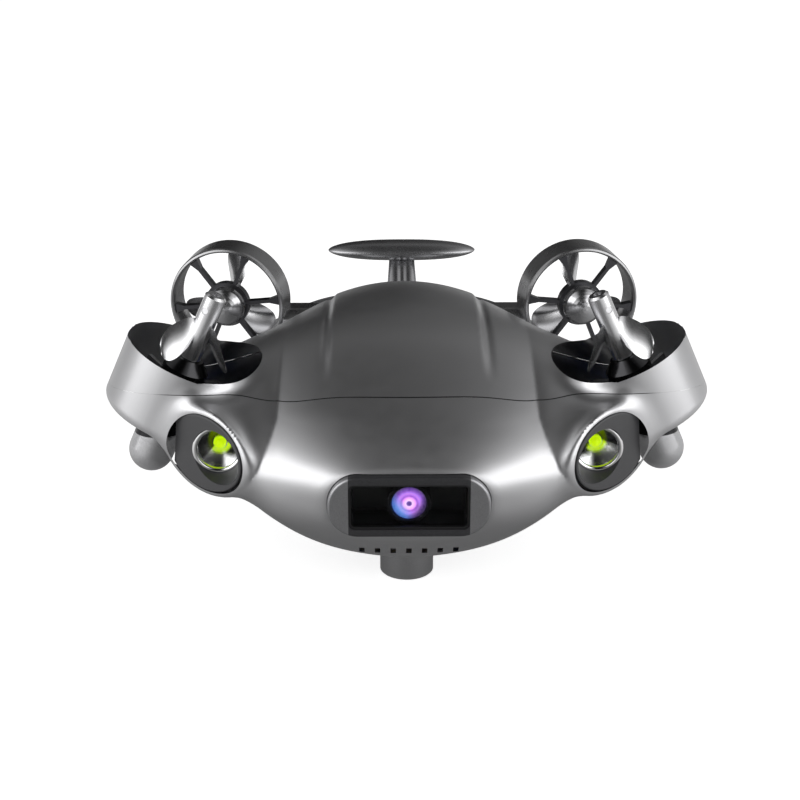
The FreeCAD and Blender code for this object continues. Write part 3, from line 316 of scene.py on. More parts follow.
def duct_frame(mouth, lean):
    """Axes of a right-hand vectored thruster: outboard, rearward, along the shaft."""
    a = math.radians(lean)
    outboard, shaft = (math.cos(a), 0.0, math.sin(a)), (-math.sin(a), 0.0, math.cos(a))
    return np.array(mouth), np.array(outboard), np.array(shaft)


def rounded(side, end, radius):
    """Field of a cylinder with rounded edges, from the fields of its side and its ends."""
    return np.minimum(np.maximum(side, end), 0.0) + np.hypot(np.maximum(side, 0), np.maximum(end, 0)) - radius


def duct_field(x, y, z, mouth, lean):
    """Outside of a vectored thruster's duct."""
    centre, outboard, shaft = duct_frame(mouth, lean)
    across = (x - centre[0]) * outboard[0] + (z - centre[2]) * outboard[2]
    height = (x - centre[0]) * shaft[0] + (z - centre[2]) * shaft[2]
    side = np.hypot(across, y - centre[1]) - (DUCT_R - DUCT_ROUND)
    middle = (DUCT_ROUND + DUCT_SPARE - DUCT_LENGTH) / 2
    end = np.abs(height - middle) - ((DUCT_LENGTH + DUCT_ROUND + DUCT_SPARE) / 2 - DUCT_ROUND)
    return rounded(side, end, DUCT_ROUND)


def nacelle_field(x, y, z):
    """Fairing round a lamp, cut slantwise like the lamp's bezel."""
    slant = math.radians(BEZEL_SLANT)
    side = np.hypot(x - LAMP_BEZEL_X, z - LAMP_Z) - (NACELLE_R - NACELLE_ROUND)
    depth = (y - BEZEL_Y) * math.cos(slant) - (x - LAMP_BEZEL_X) * math.sin(slant)
    end = np.maximum(NACELLE_SETBACK - depth, y - NACELLE_BACK) + NACELLE_ROUND
    return rounded(side, end, NACELLE_ROUND)


def crease_line(z):
    """Distance of the crease from the vehicle's middle plane."""
    fall = np.maximum(CREASE_TOP - z, 0.0)
    return CREASE_X + CREASE_SPREAD * fall + CREASE_BEND * fall * fall


def crease(x, y, z):
    """How far the valley between body and wing sinks the skin."""
    off = x - crease_line(z)
    shape = np.where(off < 0, np.exp(off / CREASE_INNER), np.exp(-off / CREASE_OUTER))
    along = sum(eased(y, *stretch) * share for stretch, share in CREASE_STARTS)
    return CREASE_DEPTH * shape * along * eased(z, *CREASE_FADE)


def panel(x, y, rise):
    """Height of the raised panel along the back, negative outwards."""
    edge = x - PANEL_HALF
    fade = eased(y, *PANEL_FRONT) * eased(y, *PANEL_REAR) * (rise > 0)
    step = 1.0 - eased(edge, *PANEL_EDGE)
    groove = GROOVE_DEPTH * np.exp(-((edge - GROOVE_OFFSET) / GROOVE_HALF) ** 2)
    return fade * (groove - PANEL_RISE * step)


def hull_field(x, y, z):
    """Roughly the distance to the skin, negative inside, at points in millimetres."""
    x = np.abs(x)
    half, top, low, mid, full_top, full_low = station_values(y)
    rise = z - mid
    height = np.where(rise > 0, top - mid, mid - low)
    power = np.where(rise > 0, full_top, full_low)
    across, up = np.maximum(x / half, TINY), np.maximum(np.abs(rise) / height, TINY)
    share = (across ** power + up ** power) ** (1 / power)
    skin = np.hypot(x, rise) * (1 - 1 / np.maximum(share, SHARE_LEAST))
    skin = skin + crease(x, y, z) + panel(x, y, rise)
    skin = smooth_max(skin, NOSE_END - y, NOSE_BLEND)
    skin = smooth_max(skin, y - TAIL_END, TAIL_BLEND)
    skin = smooth_min(skin, nacelle_field(x, y, z), NACELLE_FILLET)
    skin = smooth_min(skin, duct_field(x, y, z, FRONT_MOUTH, FRONT_LEAN), DUCT_FILLET)
    return smooth_min(skin, duct_field(x, y, z, REAR_MOUTH, REAR_LEAN), DUCT_FILLET / 2)


def sampled(field):
    """The field on a regular grid, one slice across the vehicle at a time."""
    axes = [np.arange(low, high + GRID_STEP, GRID_STEP) for low, high in zip(GRID_LOW, GRID_HIGH)]
    x, z = (a.ravel() for a in np.meshgrid(axes[0], axes[2], indexing="ij"))
    values = np.empty([len(a) for a in axes], np.float32)
    for row, y in enumerate(axes[1]):
        values[:, row, :] = field(x, np.full(x.shape, y), z).reshape(len(axes[0]), len(axes[2]))
    return values


def surface_net(values):
    """Vertices and quads of the zero surface: one vertex in each grid cell that it crosses."""
    inside = values < 0
    corners = [(i, j, k) for i in (0, 1) for j in (0, 1) for k in (0, 1)]
    shape = [n - 1 for n in values.shape]
    count = np.zeros(shape, np.int8)
    for i, j, k in corners:
        count += inside[i:shape[0] + i, j:shape[1] + j, k:shape[2] + k]
    mixed = (count > 0) & (count < 8)
    cells = np.argwhere(mixed)
    number = np.full(shape, -1, np.int64)
    number[mixed] = np.arange(len(cells))
    total, hits = np.zeros((len(cells), 3)), np.zeros(len(cells))
    for a in corners:
        for axis in range(3):
            if a[axis]:
                continue
            b = tuple(v + (n == axis) for n, v in enumerate(a))
            va, vb = (values[tuple((cells + c).T)] for c in (a, b))
            cross = (va < 0) != (vb < 0)
            t = va[cross] / (va[cross] - vb[cross])
            total[cross] += np.array(a) + t[:, None] * (np.array(b) - np.array(a))
            hits[cross] += 1
    vertices = np.array(GRID_LOW) + GRID_STEP * (cells + total / hits[:, None])
    faces, step = [], np.eye(3, dtype=int)
    for axis in range(3):
        u, v = (axis + 1) % 3, (axis + 2) % 3
        low = np.argwhere(np.take(inside, range(values.shape[axis] - 1), axis)
                          != np.take(inside, range(1, values.shape[axis]), axis))
        low = low[(low[:, u] > 0) & (low[:, v] > 0) & (low[:, u] < shape[u]) & (low[:, v] < shape[v])]
        ring = [number[tuple((low - du * step[u] - dv * step[v]).T)]
                for du, dv in ((0, 0), (1, 0), (1, 1), (0, 1))]
        quads = np.stack(ring, 1)
        out = inside[tuple(low.T)]
        quads[out] = quads[out][:, ::-1]
        faces.append(quads)
    return vertices, np.vstack(faces)


def settle(field, points):
    """Points moved onto the zero surface along the field's slope."""
    steps = SLOPE_STEP * np.eye(3)
    for _ in range(SETTLE_ROUNDS):
        value = field(*points.T)
        slope = np.stack([field(*(points + step).T) - field(*(points - step).T) for step in steps], 1)
        slope = slope / (2 * SLOPE_STEP)
        size = np.maximum((slope * slope).sum(1), SLOPE_LEAST)
        move = -(value / size)[:, None] * slope
        points = points + np.clip(move, -GRID_STEP, GRID_STEP)
    return points


# ---------------------------------------------------------------- cutters


def vector_matrix(mouth, lean, side):
    """Frame of a vectored thruster in metres: Z along its shaft."""
    centre, outboard, shaft = duct_frame(mouth, lean)
    rows = np.eye(4)
    rows[:3, 0] = outboard
    rows[:3, 1] = (0, 1, 0)
    rows[:3, 2] = shaft
    rows[:3, 3] = centre
    matrix = np.diag((side, 1, 1, 1)) @ rows
    return TO_METRES @ Matrix(matrix.tolist())


def duct_cutter(mouth, lean, side, grow):
    """Bell-mouthed bore, wider above the lip."""
    below = -DUCT_LENGTH - BORE_BELOW
    inner, outer = DUCT_R - DUCT_LIP, DUCT_R + LIP_PLAY
    profile = [(0.0, below), (DUCT_THROAT + grow, below), (DUCT_THROAT + grow, -DUCT_BELL)]
    for k in range(1, BELL_STEPS + 1):
        turn = math.radians(90.0 * k / BELL_STEPS)
        radius = inner - (inner - DUCT_THROAT) * math.cos(turn)
        profile.append((radius + grow, -DUCT_BELL * (1 - math.sin(turn))))
    profile += [(inner + LIP_EDGE, 0.0), (outer, 0.0), (outer, BORE_ABOVE), (0.0, BORE_ABOVE)]
    thing = revolved("bore", profile)
    return place(thing, vector_matrix(mouth, lean, side))


def box_object(name, low, high):
    corners = [(x, y, z) for x in (low[0], high[0]) for y in (low[1], high[1]) for z in (low[2], high[2])]
    faces = [(0, 1, 3, 2), (4, 6, 7, 5), (0, 4, 5, 1), (2, 3, 7, 6), (0, 2, 6, 4), (1, 5, 7, 3)]
    return new_object(name, corners, faces)


def along_y(radius, x, z, front, back):
    thing = revolved("round", [(0, 0), (radius, 0), (radius, back - front), (0, back - front)])
    turn = Matrix(((1, 0, 0, x), (0, 0, 1, front), (0, -1, 0, z), (0, 0, 0, 1)))
    return place(thing, turn)


def stadium(width, height, radius):
    """Outline of a rounded rectangle in X and Z."""
    points = []
    for corner, (sx, sz) in enumerate(((1, 1), (-1, 1), (-1, -1), (1, -1))):
        for k in range(CORNER_STEPS + 1):
            turn = math.radians(90.0 * (corner + k / CORNER_STEPS))
            points.append((sx * (width / 2 - radius) + radius * math.cos(turn),
                           sz * (height / 2 - radius) + radius * math.sin(turn)))
    return points


def prism(name, outline, front, back, lift):
    """Prism along Y from an outline in X and Z."""
    n = len(outline)
    vertices = [(x, y, z + lift) for y in (front, back) for x, z in outline]
    faces = [list(range(n)), list(range(2 * n - 1, n - 1, -1))]
    faces += [[(k + 1) % n, k, n + k, n + (k + 1) % n] for k in range(n)]
    return new_object(name, vertices, faces)


def hull_cutters(grow=0.0):
    """What the hull's skin makes room for, each form grown a little where asked."""
    cutters, forms = [], []
    for _, side in SIDES:
        cutters.append(duct_cutter(FRONT_MOUTH, FRONT_LEAN, side, grow))
        cutters.append(duct_cutter(REAR_MOUTH, REAR_LEAN, side, grow))
        pocket = along_y(LAMP_BEZEL_R + LAMP_PLAY + grow, side * LAMP_BEZEL_X, LAMP_Z, CUT_FRONT, LAMP_BACK_Y)
        cutters.append(place(pocket, TO_METRES))
    opening = stadium(FRAME_WIDTH + FRAME_PLAY, FRAME_HEIGHT + FRAME_PLAY, FRAME_HEIGHT / 2 - FRAME_SQUARE)
    forms.append(prism("cavity", opening, CUT_FRONT, FRAME_BACK, CAMERA_Z))
    for k in range(VENT_COUNT):
        x = (k - (VENT_COUNT - 1) / 2) * VENT_PITCH
        half, tall = VENT_SIZE / 2, VENT_TALL / 2
        low, high = (x - half, VENT_FRONT, VENT_Z - tall), (x + half, VENT_BACK, VENT_Z + tall)
        forms.append(box_object("vent", low, high))
    return cutters + [place(form, TO_METRES) for form in forms]


def seam_height(x, y):
    """Height of the seam: a falling plane that dips where it crosses the crease."""
    plane = SEAM_Z - (y - SEAM_Y) * math.tan(math.radians(SEAM_DROP))
    share = min(max((DIP_START - y) / DIP_REACH, 0.0), 1.0)
    return plane - SEAM_DIP * share * math.exp(-((abs(x) - CREASE_X) / SEAM_DIP_HALF) ** 2)


def seam_blade(thick=SEAM_GAP):
    """Thin sheet that parts the shells, thinner still out on the wings."""
    xs = np.linspace(-BLADE_HALF, BLADE_HALF, BLADE_COLUMNS)
    ys = np.linspace(BLADE_FRONT, BLADE_BACK, BLADE_ROWS)
    vertices, faces = [], []
    for lift in (-thick / 2, thick / 2):
        for x in xs:
            for y in ys:
                narrow = 1.0 - SEAM_THINNING * min(max((abs(x) - SEAM_END) / SEAM_FADE, 0.0), 1.0)
                vertices.append((x, y, seam_height(x, y) + lift * narrow))
    n, m = len(xs), len(ys)

    def at(layer, i, j):
        return layer * n * m + i * m + j

    for i in range(n - 1):
        for j in range(m - 1):
            faces.append((at(0, i, j), at(0, i, j + 1), at(0, i + 1, j + 1), at(0, i + 1, j)))
            faces.append((at(1, i, j), at(1, i + 1, j), at(1, i + 1, j + 1), at(1, i, j + 1)))
    for i in range(n - 1):
        faces.append((at(0, i, 0), at(0, i + 1, 0), at(1, i + 1, 0), at(1, i, 0)))
        faces.append((at(0, i + 1, m - 1), at(0, i, m - 1), at(1, i, m - 1), at(1, i + 1, m - 1)))
    for j in range(m - 1):
        faces.append((at(0, 0, j + 1), at(0, 0, j), at(1, 0, j), at(1, 0, j + 1)))
        faces.append((at(0, n - 1, j), at(0, n - 1, j + 1), at(1, n - 1, j + 1), at(1, n - 1, j)))
    return place(new_object("blade", vertices, faces), TO_METRES)


def split_by_seam(thing):
    """Two objects from the parted skin: what lies above the seam and what lies below it.

    Scraps that the cuts leave behind, with few vertices, are dropped.
    """
    work = bmesh.new()
    work.from_mesh(thing.data)
    work.verts.ensure_lookup_table()
    seen, groups = set(), []
    for start in work.verts:
        if start.index in seen:
            continue
        group, stack = [], [start]
        seen.add(start.index)
        while stack:
            vertex = stack.pop()
            group.append(vertex.index)
            for edge in vertex.link_edges:
                other = edge.other_vert(vertex)
                if other.index not in seen:
                    seen.add(other.index)
                    stack.append(other)
        groups.append(group)
    keep = {"upper": set(), "lower": set()}
    for group in groups:
        if len(group) < SCRAP_VERTICES:
            continue
        points = np.array([work.verts[i].co for i in group]) / MM
        sample = points[::max(1, len(points) // RISE_SAMPLES)]
        rise = np.mean([z - seam_height(x, y) for x, y, z in sample])
        keep["upper" if rise > 0 else "lower"].update(group)
    work.free()
    results = []
    for name in ("upper", "lower"):
        piece = bmesh.new()
        piece.from_mesh(thing.data)
        piece.verts.ensure_lookup_table()
        bmesh.ops.delete(piece, geom=[v for v in piece.verts if v.index not in keep[name]], context="VERTS")
        mesh = bpy.data.meshes.new("hull_skin_" + name)
        piece.to_mesh(mesh)
        piece.free()
        result = bpy.data.objects.new("hull_skin_" + name, mesh)
        bpy.context.scene.collection.objects.link(result)
        results.append(result)
    drop(thing)
    return results


def inset_field(x, y, z):
    """The skin's field, drawn in to where the gasket ends."""
    return hull_field(x, y, z) + GASKET_INSET


def build_gasket(points, quads):
    """Seal between the shells, just inside the skin."""
    gasket = new_object("hull_gasket", settle(inset_field, points) * MM, quads)
    cut(gasket, joined("cutters", hull_cutters(GASKET_INSET)))
    cut(gasket, seam_blade(SEAM_GAP + GASKET_SPARE), "INTERSECT")
    return gasket


def build_hull():
    """Skin of the upper shell, skin of the lower shell with the four ducts, and the gasket."""
    points, quads = surface_net(sampled(hull_field))
    points = settle(hull_field, points)
    gasket = build_gasket(points, quads)
    skin = new_object("hull_skin", points * MM, quads)
    cut(skin, joined("cutters", hull_cutters()))
    cut(skin, seam_blade())
    upper, lower = split_by_seam(skin)
    for thing in (upper, lower):
        shade_smooth(thing, angle=30.0)
    return upper, lower, gasket


# ---------------------------------------------------------------- handle


def lofted(name, rings):
    """Closed solid through rings of points with the same count."""
    count = len(rings[0])
    vertices = [point for ring in rings for point in ring]
    faces = [list(range(count))[::-1], [(len(rings) - 1) * count + k for k in range(count)]]
    for row in range(len(rings) - 1):
        for k in range(count):
            a, b = row * count + k, row * count + (k + 1) % count
            faces.append((a, b, b + count, a + count))
    thing = new_object(name, vertices, faces)
    return joined(name, [place(thing, TO_METRES)])


def build_grip():
    """Flat grip, fullest in the middle, that thins out towards rounded ends."""
    rings = []
    for step in range(GRIP_RINGS + 1):
        along = -math.cos(math.pi * step / GRIP_RINGS) * GRIP_TIP
        share = (1 - abs(along) ** GRIP_FULLNESS) ** 0.5
        depth, thick = GRIP_DEPTH * share, GRIP_THICK * share ** GRIP_THINNING
        ring = []
        for k in range(GRIP_SIDES):
            turn = 2 * math.pi * k / GRIP_SIDES
            y, z = GRIP_Y + depth / 2 * math.cos(turn), GRIP_Z + thick / 2 * math.sin(turn)
            ring.append((GRIP_HALF * along, y, z))
        rings.append(ring)
    thing = lofted("handle_grip_skin", rings)
    shade_smooth(thing, angle=60.0)
    return thing


def stem_ring(width, depth, y, z):
    """Rounded section with a groove down its front."""
    points = []
    for k in range(STEM_SIDES):
        turn = 2 * math.pi * k / STEM_SIDES
        c, s = math.cos(turn), math.sin(turn)
        x = width / 2 * math.copysign(abs(c) ** STEM_SQUARE, c)
        back = depth / 2 * math.copysign(abs(s) ** STEM_SQUARE, s)
        if s < 0:
            back += STEM_GROOVE * math.exp(-(x / STEM_GROOVE_HALF) ** 2)
        points.append((x, y + back, z))
    return points


def build_stem():
    """Neck from the tail up to the grip, thinning fast and swept back."""
    rings = []
    for step in range(STEM_RINGS + 1):
        t = step / STEM_RINGS
        shares = (t, min(1.0, t * STEM_THINNING), t ** STEM_SWEEP, t)
        rings.append(stem_ring(*(foot + (head - foot) * share
                                 for foot, head, share in zip(STEM_FOOT, STEM_HEAD, shares))))
    thing = lofted("handle_stem_skin", rings)
    shade_smooth(thing, angle=50.0)
    return thing


# ---------------------------------------------------------------- lens and lamps


def facing_nose(thing, x, y, z):
    """Turns a form made about Z so that its Z points at -Y, and sets it at x, y, z."""
    return place(thing, Matrix(((MM, 0, 0, x * MM), (0, 0, -MM, y * MM), (0, MM, 0, z * MM), (0, 0, 0, 1))))


def build_barrel():
    """Lens barrel with stepped rings round the front glass."""
    profile = [(0.0, 0.0), *BARREL_RINGS, (0.0, BARREL_FLOOR)]
    thing = facing_nose(revolved("lens_rings", profile), 0.0, BARREL_BACK, CAMERA_Z)
    shade_smooth(thing, angle=25.0)
    return thing


def build_lens():
    """Domed front glass."""
    profile = [(0.0, LENS_FOOT), (LENS_R, LENS_FOOT), (LENS_R, LENS_RIM)]
    for k in range(1, LENS_STEPS):
        turn = math.radians(90.0 * k / LENS_STEPS)
        profile.append((LENS_R * math.cos(turn), LENS_RIM + LENS_RISE * math.sin(turn)))
    profile.append((0.0, LENS_RIM + LENS_RISE))
    thing = facing_nose(revolved("lens_dome", profile), 0.0, BARREL_BACK, CAMERA_Z)
    shade_smooth(thing, angle=60.0)
    return thing


def build_lamp_ring(name, side):
    """Chrome ring round a lamp's glass."""
    profile = []
    for k in range(LAMP_RING_SIDES + 1):
        turn = 2 * math.pi * k / LAMP_RING_SIDES
        profile.append((LAMP_RING_R + LAMP_RING_TUBE * math.cos(turn), LAMP_RING_TUBE * math.sin(turn)))
    thing = revolved("lamp_ring_" + name, profile)
    facing_nose(thing, side * LAMP_X, LAMP_FACE_Y - LAMP_RING_RISE, LAMP_Z)
    shade_smooth(thing, angle=60.0)
    return joined("lamp_ring_" + name, [thing])


# ---------------------------------------------------------------- node graphs


class Graph:
    """Short calls for adding nodes to a material or to the world."""

    def __init__(self, tree):
        self.tree = tree
        tree.nodes.clear()

    def add(self, kind, **settings):
        node = self.tree.nodes.new(kind)
        for key, value in settings.items():
            setattr(node, key, value)
        return node

    def feed(self, socket, value):
        """A link from another node's output, or a fixed value."""
        if isinstance(value, bpy.types.NodeSocket):
            self.tree.links.new(value, socket)
        else:
            socket.default_value = value

    def math(self, operation, *values):
        node = self.add("ShaderNodeMath", operation=operation)
        for socket, value in zip(node.inputs, values):
            self.feed(socket, value)
        return node.outputs[0]

    def vector(self, operation, *values):
        node = self.add("ShaderNodeVectorMath", operation=operation)
        for socket, value in zip(node.inputs, values):
            self.feed(socket, value)
        return node.outputs["Value" if operation == "LENGTH" else "Vector"]

    def split(self, vector):
        """The X, Y and Z of a vector."""
        node = self.add("ShaderNodeSeparateXYZ")
        self.feed(node.inputs[0], vector)
        return tuple(node.outputs)

    def ramp(self, value, stops):
        """Colour ramp through (place, colour) stops, where a number stands for a grey."""
        node = self.add("ShaderNodeValToRGB")
        elements = node.color_ramp.elements
        while len(elements) < len(stops):
            elements.new(0.5)
        for element, (at, colour) in zip(elements, stops):
            element.position = at
            element.color = (colour if isinstance(colour, tuple) else (colour,) * 3) + (1.0,)
        self.feed(node.inputs["Fac"], value)
        return node.outputs["Color"]

    def spread(self, value, low, high):
        """Number from 0 to 1 brought to low...high."""
        node = self.add("ShaderNodeMapRange")
        node.inputs["To Min"].default_value = low
        node.inputs["To Max"].default_value = high
        self.feed(node.inputs["Value"], value)
        return node.outputs["Result"]

    def blend(self, share, a, b):
        """Number a where share is 0 and b where it is 1."""
        node = self.add("ShaderNodeMix", data_type="FLOAT")
        for socket, value in zip((node.inputs[0], node.inputs[2], node.inputs[3]), (share, a, b)):
            self.feed(socket, value)
        return node.outputs[0]

    def mix(self, share, a, b):
        """Colour a where share is 0 and b where it is 1."""
        node = self.add("ShaderNodeMix", data_type="RGBA")
        self.feed(node.inputs[0], share)
        for socket, value in ((node.inputs[6], a), (node.inputs[7], b)):
            self.feed(socket, value + (1.0,) if isinstance(value, tuple) else value)
        return node.outputs[2]


class Paint(Graph):
    """A material round one principled shader."""

    def __init__(self, name):
        self.material = bpy.data.materials.new(name)
        self.material.use_nodes = True
        super().__init__(self.material.node_tree)
        self.output = self.add("ShaderNodeOutputMaterial")
        self.shader = self.add("ShaderNodeBsdfPrincipled")
        self.feed(self.output.inputs["Surface"], self.shader.outputs["BSDF"])
        self.place = self.add("ShaderNodeTexCoord").outputs["Object"]

    def noise(self, scale, detail=3.0):
        node = self.add("ShaderNodeTexNoise")
        node.inputs["Scale"].default_value = scale
        node.inputs["Detail"].default_value = detail
        self.feed(node.inputs["Vector"], self.place)
        return node.outputs["Fac"]

    def grain(self, scale, low, high, detail=3.0, edge=0.3):
        """Two colours mingled by noise."""
        return self.ramp(self.noise(scale, detail), [(edge, low), (1 - edge, high)])

    def bump(self, height, distance):
        node = self.add("ShaderNodeBump")
        node.inputs["Distance"].default_value = distance
        node.inputs["Strength"].default_value = 0.5
        self.feed(node.inputs["Height"], height)
        self.feed(self.shader.inputs["Normal"], node.outputs["Normal"])

    def set(self, **values):
        for key, value in values.items():
            self.feed(self.shader.inputs[key.replace("_", " ")], value)


# ---------------------------------------------------------------- materials

SHELL_GREY = (0.5, 0.5, 0.51)
GRAIN_SCALE, CLOUD_SCALE = 1800.0, 25.0

# Plain surfaces: slot or look, material, colour, metallic, roughness, settings of speckled that differ
PLAIN_LOOKS = (
    ("gasket_rubber", "gasket", (0.02, 0.02, 0.02), 0.0, 0.7, {}),
    ("sonar_rubber", "sonar_window", (0.015, 0.015, 0.016), 0.0, 0.5, {}),
    ("steel", "stainless_steel", (0.55, 0.55, 0.56), 1.0, 0.28, {"vary": 0.1}),
    ("dark_trim", "dark_trim", (0.055, 0.055, 0.058), 0.0, 0.45, {}),
    ("black_recess", "recess_black", (0.006, 0.006, 0.007), 0.0, 0.5, {}),
    ("black_metal", "barrel_black", (0.012, 0.012, 0.014), 0.8, 0.3, {}),
    ("circuit_board", "board_green", (0.01, 0.09, 0.03), 0.0, 0.4, {"vary": 0.3}),
    ("handle_grey", "handle_satin", (0.36, 0.36, 0.37), 0.9, 0.27, {}),
    ("brass", "brass", (0.5, 0.36, 0.15), 1.0, 0.3, {"vary": 0.12}),
    ("canister_metal", "canister", (0.3, 0.31, 0.33), 1.0, 0.35, {}),
    ("battery_wrap", "battery_wrap", (0.03, 0.07, 0.3), 0.0, 0.25, {}),
    ("pod_grey", "pod_satin", (0.45, 0.45, 0.46), 0.9, 0.3, {}),
    ("bright_chrome", "reflector_chrome", (0.8, 0.8, 0.8), 1.0, 0.08, {"vary": 0.03, "depth": 0.005}),
    ("ring_grey", "ring_satin", (0.32, 0.32, 0.325), 0.9, 0.28, {}),
    ("guard_dark", "guard_satin", (0.06, 0.06, 0.065), 0.8, 0.3, {}),
    ("motor_grey", "motor_satin", (0.45, 0.45, 0.46), 0.95, 0.2, {}),
    ("blade_silver", "blade_silver", (0.66, 0.66, 0.67), 0.95, 0.22, {"depth": 0.003}),
    ("lens_barrel", "lens_barrel", (0.03, 0.03, 0.034), 0.9, 0.22, {}),
)


def tones(colour, share):
    """The colour made darker and lighter by a share."""
    return tuple(min(1.0, c * (1 - share)) for c in colour), tuple(min(1.0, c * (1 + share)) for c in colour)


def speckled(name, colour, metallic, rough, depth=0.008, vary=0.05):
    """Moulded or painted surface: soft clouding, fine speckle and a faint bump of a depth in millimetres."""
    n = Paint(name)
    clouds = n.grain(CLOUD_SCALE, *tones(colour, vary), detail=2.0)
    speckle = n.grain(GRAIN_SCALE, *tones(colour, vary * 1.6), detail=2.0, edge=0.35)
    n.set(Base_Color=n.mix(0.45, clouds, speckle), Metallic=metallic,
          Roughness=n.spread(n.noise(CLOUD_SCALE * 6), rough - 0.04, rough + 0.04))
    n.bump(n.noise(GRAIN_SCALE * 0.8, 2.0), depth * MM)
    return n


def distance_from_shaft(n, mouth, lean, side):
    """Distance in metres of the shaded point from a thruster's shaft."""
    centre, _, shaft = duct_frame(mouth, lean)
    offset = n.vector("SUBTRACT", n.place, (side * centre[0] * MM, centre[1] * MM, centre[2] * MM))
    return n.vector("LENGTH", n.vector("CROSS_PRODUCT", offset, (side * shaft[0], shaft[1], shaft[2])))


def offsets_from_axis(n, x, z):
    """Offsets in X and Z, and distance, of the shaded point from a line along Y."""
    at_x, _, at_z = n.split(n.place)
    dx, dz = n.math("SUBTRACT", at_x, x * MM), n.math("SUBTRACT", at_z, z * MM)
    return dx, dz, n.math("SQRT", n.math("ADD", n.math("MULTIPLY", dx, dx), n.math("MULTIPLY", dz, dz)))


def shell_paint(name):
    """Satin metallic paint, with painted shade inside the duct bores, where it turns near-black and loses its
    metal.
    """
    n = Paint(name)
    low, high = tones(SHELL_GREY, 0.04)
    clouds = n.grain(22.0, low, high, detail=2.0)
    paint = n.mix(0.4, clouds, n.grain(2600.0, low, high, detail=2.0, edge=0.35))
    # painted shade: points nearer a thruster's shaft than the bore's wall are painted near-black
    bore = (DUCT_R - DUCT_LIP - BORE_SHADE_PLAY) * MM
    inside = None
    for mouth, lean in ((FRONT_MOUTH, FRONT_LEAN), (REAR_MOUTH, REAR_LEAN)):
        for _, side in SIDES:
            near = n.math("LESS_THAN", distance_from_shaft(n, mouth, lean, side), bore)
            inside = near if inside is None else n.math("MAXIMUM", inside, near)
    n.set(Base_Color=n.mix(inside, paint, (0.012, 0.012, 0.013)), Metallic=n.spread(inside, 0.92, 0.0),
          Roughness=n.spread(n.noise(140.0), 0.3, 0.37), Coat_Weight=0.05, Coat_Roughness=0.3)
    n.bump(n.noise(2100.0, 2.0), 0.01 * MM)
    return n.material


def nose_material():
    """Dark frame round the camera with lighter cheeks left and right."""
    n = speckled("nose_frame", (0.03, 0.03, 0.032), 0.0, 0.35)
    cheek = n.math("LESS_THAN", CHEEK_X * MM, n.math("ABSOLUTE", n.split(n.place)[0]))
    dark = n.grain(1500.0, (0.02, 0.02, 0.022), (0.035, 0.035, 0.038))
    light = n.grain(1700.0, (0.30, 0.30, 0.31), (0.36, 0.36, 0.37))
    n.set(Base_Color=n.mix(cheek, dark, light), Metallic=n.spread(cheek, 0.0, 0.85))
    return n.material


def motor_material():
    """Satin metal below the hull, with painted shade inside the ducts, where it turns near-black."""
    n = speckled("motor_shaded", SHELL_GREY, 0.95, 0.2)
    # painted shade: the motors turn near-black above this height, inside the ducts
    inside = n.math("GREATER_THAN", n.split(n.place)[2], MOTOR_SHADE_Z * MM)
    metal = n.grain(1500.0, (0.46, 0.46, 0.47), (0.54, 0.54, 0.55))
    n.set(Base_Color=n.mix(inside, metal, (0.035, 0.035, 0.037)))
    return n.material


def reflector_material(name, side):
    """Bright metal with a painted reflection: dark grey in the upper part, where it would mirror the lamp's
    own bezel.
    """
    n = Paint(name)
    dx, dz, radius = offsets_from_axis(n, side * LAMP_X, LAMP_Z)
    # painted reflection: the upper part of the reflector, inside its radius, turns dark grey
    tilted = n.math("ADD", dz, n.math("MULTIPLY", dx, PAINTED_REFLECTION_TILT))
    upper = n.ramp(n.math("ADD", n.math("DIVIDE", tilted, radius), 1.0), [(0.62, 0.0), (0.72, 1.0)])
    inner = n.math("LESS_THAN", radius, REFLECTOR_R * MM)
    bright = n.grain(700.0, (0.84, 0.84, 0.84), (0.93, 0.93, 0.93))
    n.set(Base_Color=n.mix(n.math("MULTIPLY", upper, inner), bright, (0.09, 0.09, 0.09)), Metallic=1.0,
          Roughness=n.spread(n.noise(300.0), 0.08, 0.14))
    return n.material


def emitter_material():
    """Yellow-green phosphor that glows a little."""
    n = speckled("led_phosphor", (0.62, 0.85, 0.0), 0.0, 0.4, vary=0.1)
    n.set(Emission_Color=(0.62, 0.95, 0.0, 1.0), Emission_Strength=0.7)
    return n.material


def window_material():
    """Clear glass or acrylic."""
    n = speckled("clear_glass", (0.97, 0.98, 1.0), 0.0, 0.02, vary=0.01, depth=0.002)
    n.set(Transmission_Weight=1.0, IOR=1.2, Alpha=0.35)
    return n.material


